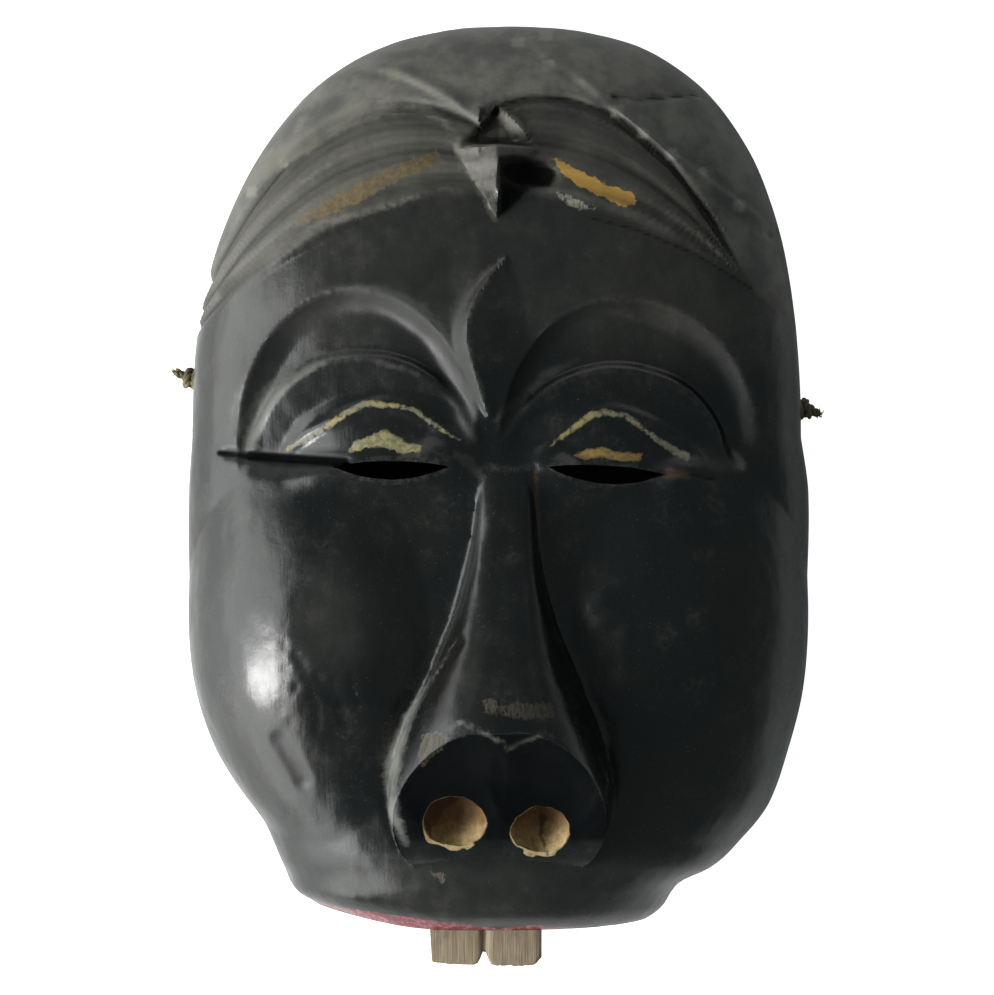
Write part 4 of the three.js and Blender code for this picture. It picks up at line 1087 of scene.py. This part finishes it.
lip_colour = blend(tree, ramp(tree, fine, 0.45, 0.7), (0.17, 0.014, 0.028, 1), (0.37, 0.125, 0.14, 1))
colour = blend(tree, red, colour, lip_colour)
scratch = speckle(tree, place, 1.0, 3, 0.6, stretch=(1.7, 0.5, 1.0))
chips_mask = torn(tree, field(tree, "chipped"), fine, 2.4, 0.3)
chips_mask = times(tree, chips_mask, ramp(tree, scratch, 0.38, 0.52, 0.2, 1.0))
worn_spots = torn(tree, field(tree, "spots"), fine, 1.6, 0.6)
worn_spots = times(tree, worn_spots, ramp(tree, fine, 0.3, 0.5, 0.5, 1.0))
colour = coat(tree, colour, worn_spots, 0.8, (0.21, 0.205, 0.17, 1))
chip_colour = blend(tree, ramp(tree, along_y, -40, 60), (0.072, 0.058, 0.038, 1), (0.27, 0.255, 0.205, 1))
chip_colour = blend(tree, ramp(tree, drag, 0.45, 0.6, 0.0, 0.6), chip_colour, (0.035, 0.03, 0.022, 1))
colour = coat(tree, colour, chips_mask, 0.85, chip_colour)
# Painted shade in the grooves and hollows, and a dark line along the crack, nearly black and without shine.
colour = coat(tree, colour, ramp(tree, field(tree, "crevice_shade"), -0.6, 0.6), 0.95, (0.003, 0.0035, 0.004, 1))
pit = torn(tree, field(tree, "pit"), fine, 0.5, 0.1)
chisel = speckle(tree, place, 0.5, 3, 0.6)
pit_height = sums(tree, "ADD", along_y, times(tree, chisel, 8))
# Painted light and shade inside the nostrils: the wood is pale low in each pit and dark brown higher up, with
# painted shade on the shaded walls and in a dark spot deep in the right pit.
pit_colour = blend(tree, ramp(tree, pit_height, -79, -70), (0.46, 0.35, 0.175, 1), (0.14, 0.07, 0.022, 1))
pit_colour = blend(tree, ramp(tree, fine, 0.45, 0.65, 0.0, 0.6), pit_colour, (0.20, 0.115, 0.04, 1))
pit_shade = torn(tree, field(tree, "pit_shade"), fine, 1.0, 0.3)
pit_colour = coat(tree, pit_colour, pit_shade, 0.75, (0.035, 0.018, 0.008, 1))
colour = blend(tree, pit, colour, pit_colour)
back = torn(tree, field(tree, "bare_back"), cloud, 1.2, 0.2)
grain = speckle(tree, place, 0.9, 4, 0.65, stretch=(1.5, 0.06, 1.2))
back_colour = blend(tree, ramp(tree, grain, 0.35, 0.68), (0.085, 0.06, 0.035, 1), (0.20, 0.15, 0.095, 1))
back_colour = blend(tree, ramp(tree, cloud, 0.45, 0.75, 0.0, 0.7), back_colour, (0.055, 0.042, 0.03, 1))
colour = blend(tree, back, colour, back_colour)
tree.links.new(colour, surface.inputs["Base Color"])
# How dull each coat is, and the brush marks and chips that can be felt.
dullness = ramp(tree, cloud, 0.3, 0.7, 0.20, 0.30)
dullness = sums(tree, "ADD", dullness, times(tree, hair_share, 0.26))
crevice_shade_share = ramp(tree, field(tree, "crevice_shade"), -0.8, 0.2)
duller = [
    (worn_and_lit, 0.2), (field(tree, "matte"), 0.26), (crevice_shade_share, 0.35), (under, 0.2), (lid_edge, 0.3), (fold_highlight, 0.25),
    (gold, 0.12), (lids, 0.15), (chips_mask, 0.3), (pit, 0.45), (back, 0.45),
]
for share, rise in duller:
    dullness = sums(tree, "ADD", dullness, times(tree, share, rise))
dullness = sums(tree, "MINIMUM", dullness, 0.9)
dulled = sums(tree, "ADD", times(tree, worn_and_lit, 0.25), times(tree, under, 0.4))
shine = times(tree, sums(tree, "SUBTRACT", 1, crevice_shade_share), sums(tree, "SUBTRACT", 0.5, dulled))
tree.links.new(shine, surface.inputs["Specular IOR Level"])
tree.links.new(dullness, surface.inputs["Roughness"])
height = sums(tree, "ADD", times(tree, fine, 0.3), times(tree, drag, 0.22))
height = sums(tree, "SUBTRACT", height, times(tree, chips_mask, 0.5))
height = sums(tree, "ADD", height, times(tree, lids, 0.5))
height = sums(tree, "ADD", height, times(tree, sums(tree, "MAXIMUM", pit, back), times(tree, grain, 2.0)))
bump(tree, surface, height, 0.12)
mask.data.materials.clear()
mask.data.materials.append(mask_paint)
bpy.ops.object.select_all(action="DESELECT")
mask.select_set(True)
bpy.context.view_layer.objects.active = mask
bpy.ops.object.shade_smooth_by_angle(angle=math.radians(42))
mask.select_set(False)
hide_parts("mask_body")
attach(mask, "root")


# Front teeth
# One slip of pale wood, split from a plank and left unpainted, with a groove and a notch that make two
# teeth. It stands in a seat behind the lip.
bpy.ops.mesh.primitive_cube_add(size=2)
teeth = bpy.context.object
teeth.name = "teeth_slip"
bpy.ops.object.mode_set(mode="EDIT")
bpy.ops.mesh.select_all(action="SELECT")
bpy.ops.mesh.subdivide(number_cuts=40)
bpy.ops.object.mode_set(mode="OBJECT")
unit = read(teeth.data, "places")
u, v, w = unit.T
half = np.where(u < 0, tooth_width - 1.2 * (1 - v) / 2, tooth_width)
tx = u * half
low = lip_y - tooth_reach + np.where(u < 0, 0.6 * np.abs(u), 0.0)
notch = 3.4 * np.exp(-(tx / 1.1) ** 2)
corner = 1.9 * np.maximum(0, (np.abs(tx) - (tooth_width - 3.0)) / 3.0) ** 2.2 * np.where(u > 0, 1, 0.45)
rough = np.array([noise.noise(Vector((a * 0.9, 0, b * 0.7))) for a, b in zip(tx, w)])
bottom = low + notch + corner + 0.3 * (rough + 0.4)
high = lip_y + tooth_inset
ty = bottom + (high - bottom) * (v + 1) / 2
grain_line = np.array([noise.noise(Vector((a * 1.5, b * 0.09, 4.0))) for a, b in zip(tx, ty)])
groove = 0.95 * np.exp(-(tx / 0.75) ** 2)
skin = 0.12 + 0.16 * np.abs(grain_line) + groove
skin = skin + 0.5 * np.clip((np.abs(tx) - tooth_width + 1.4) / 1.4, 0, 1) ** 2
skin = skin + 0.4 * np.clip((-(ty - bottom) + 1.2) / 1.2, 0, 1) ** 2
tz = teeth_front - tooth_thickness / 2 + w * tooth_thickness / 2
tz = tz - np.where(w > 0, w, 0) * skin + np.where(w < 0, -w, 0) * 0.1
move_points(teeth.data, np.stack([teeth_x + tx, ty, tz], axis=1))
tooth_wood, tree, surface, place = new_material("bare weathered wood")
grain = speckle(tree, place, 1.1, 4, 0.65, stretch=(2.2, 0.10, 1.4))
lines = speckle(tree, place, 1.0, 2, 0.6, stretch=(4.5, 0.07, 2.0))
cloud = speckle(tree, place, 0.22, 3)
colour = blend(tree, ramp(tree, grain, 0.32, 0.7), (0.24, 0.185, 0.12, 1), (0.36, 0.29, 0.195, 1))
colour = blend(tree, ramp(tree, lines, 0.58, 0.74, 0.0, 0.4), colour, (0.11, 0.08, 0.05, 1))
colour = blend(tree, ramp(tree, cloud, 0.5, 0.75, 0.0, 0.45), colour, (0.16, 0.125, 0.085, 1))
tree.links.new(colour, surface.inputs["Base Color"])
surface.inputs["Roughness"].default_value = 0.72
bump(tree, surface, sums(tree, "ADD", grain, lines), 0.1)
teeth.data.materials.clear()
teeth.data.materials.append(tooth_wood)
bpy.ops.object.shade_smooth_by_angle(angle=math.radians(40))
teeth.select_set(False)
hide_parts("front_teeth")
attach(teeth, "root")


# Table and light
# A plain white table top, flat and dull. Under the mask its colour is painted dark as painted shade, and
# beyond that it glows white to the camera. A wide soft window stands to the left, with a small bright lamp
# that glints on the cheek.
bpy.ops.mesh.primitive_plane_add(size=6)
table = bpy.context.object
table.name = "table_top"
bpy.ops.object.mode_set(mode="EDIT")
bpy.ops.mesh.subdivide(number_cuts=4)
bpy.ops.object.mode_set(mode="OBJECT")
white, tree, surface, place = new_material("white table top")
surface.inputs["Roughness"].default_value = 0.85
surface.inputs["Specular IOR Level"].default_value = 0.2
seen = node(tree, "ShaderNodeLightPath").outputs["Is Camera Ray"]
surface.inputs["Emission Color"].default_value = (1, 1, 1, 1)
along_x, along_y, _ = node(tree, "ShaderNodeSeparateXYZ", place).outputs
shade_half_width, shade_half_length = 66, 94
reach = sums(tree, "ADD", sums(tree, "POWER", times(tree, along_x, 1 / shade_half_width), 2),
             sums(tree, "POWER", times(tree, along_y, 1 / shade_half_length), 2))
tree.links.new(times(tree, seen, ramp(tree, reach, 0.75, 1.0)), surface.inputs["Emission Strength"])
shaded = blend(tree, ramp(tree, reach, 0.5, 0.9), (0.05, 0.05, 0.05, 1), (0.93, 0.93, 0.93, 1))
tree.links.new(shaded, surface.inputs["Base Color"])
table.data.materials.append(white)
table.select_set(False)


def window(name, place, aim, size, power, colour):
    data = bpy.data.lights.new(name, "AREA")
    data.shape = "RECTANGLE"
    data.size, data.size_y = size
    data.energy, data.color = power, colour
    lamp = bpy.data.objects.new(name, data)
    bpy.context.scene.collection.objects.link(lamp)
    lamp.location = place
    lamp.rotation_euler = (Vector(aim) - Vector(place)).to_track_quat("-Z", "Y").to_euler()
    lamp.visible_camera = False


window("left window", (-0.5, -0.24, 0.29), (0, -0.24, 0.29), (0.94, 0.56), 6.6, (0.98, 1.0, 0.98))
lit_cheek = (-0.0546, -0.0446, 0.0573)
window("bright lamp", (-0.385, -0.115, 0.255), lit_cheek, (0.12, 0.15), 1.35, (1.0, 1.0, 0.98))
window("far wall", (0, 0.66, 0.25), (0, 0, 0.03), (1.3, 0.3), 0.85, (1.0, 0.98, 0.94))
world = bpy.data.worlds.new("room")
world.use_nodes = True
background = world.node_tree.nodes["Background"]
background.inputs["Color"].default_value = (0.86, 1.0, 1.0, 1)
background.inputs["Strength"].default_value = 0.185
bpy.context.scene.world = world
bpy.context.scene.view_settings.view_transform = "Standard"
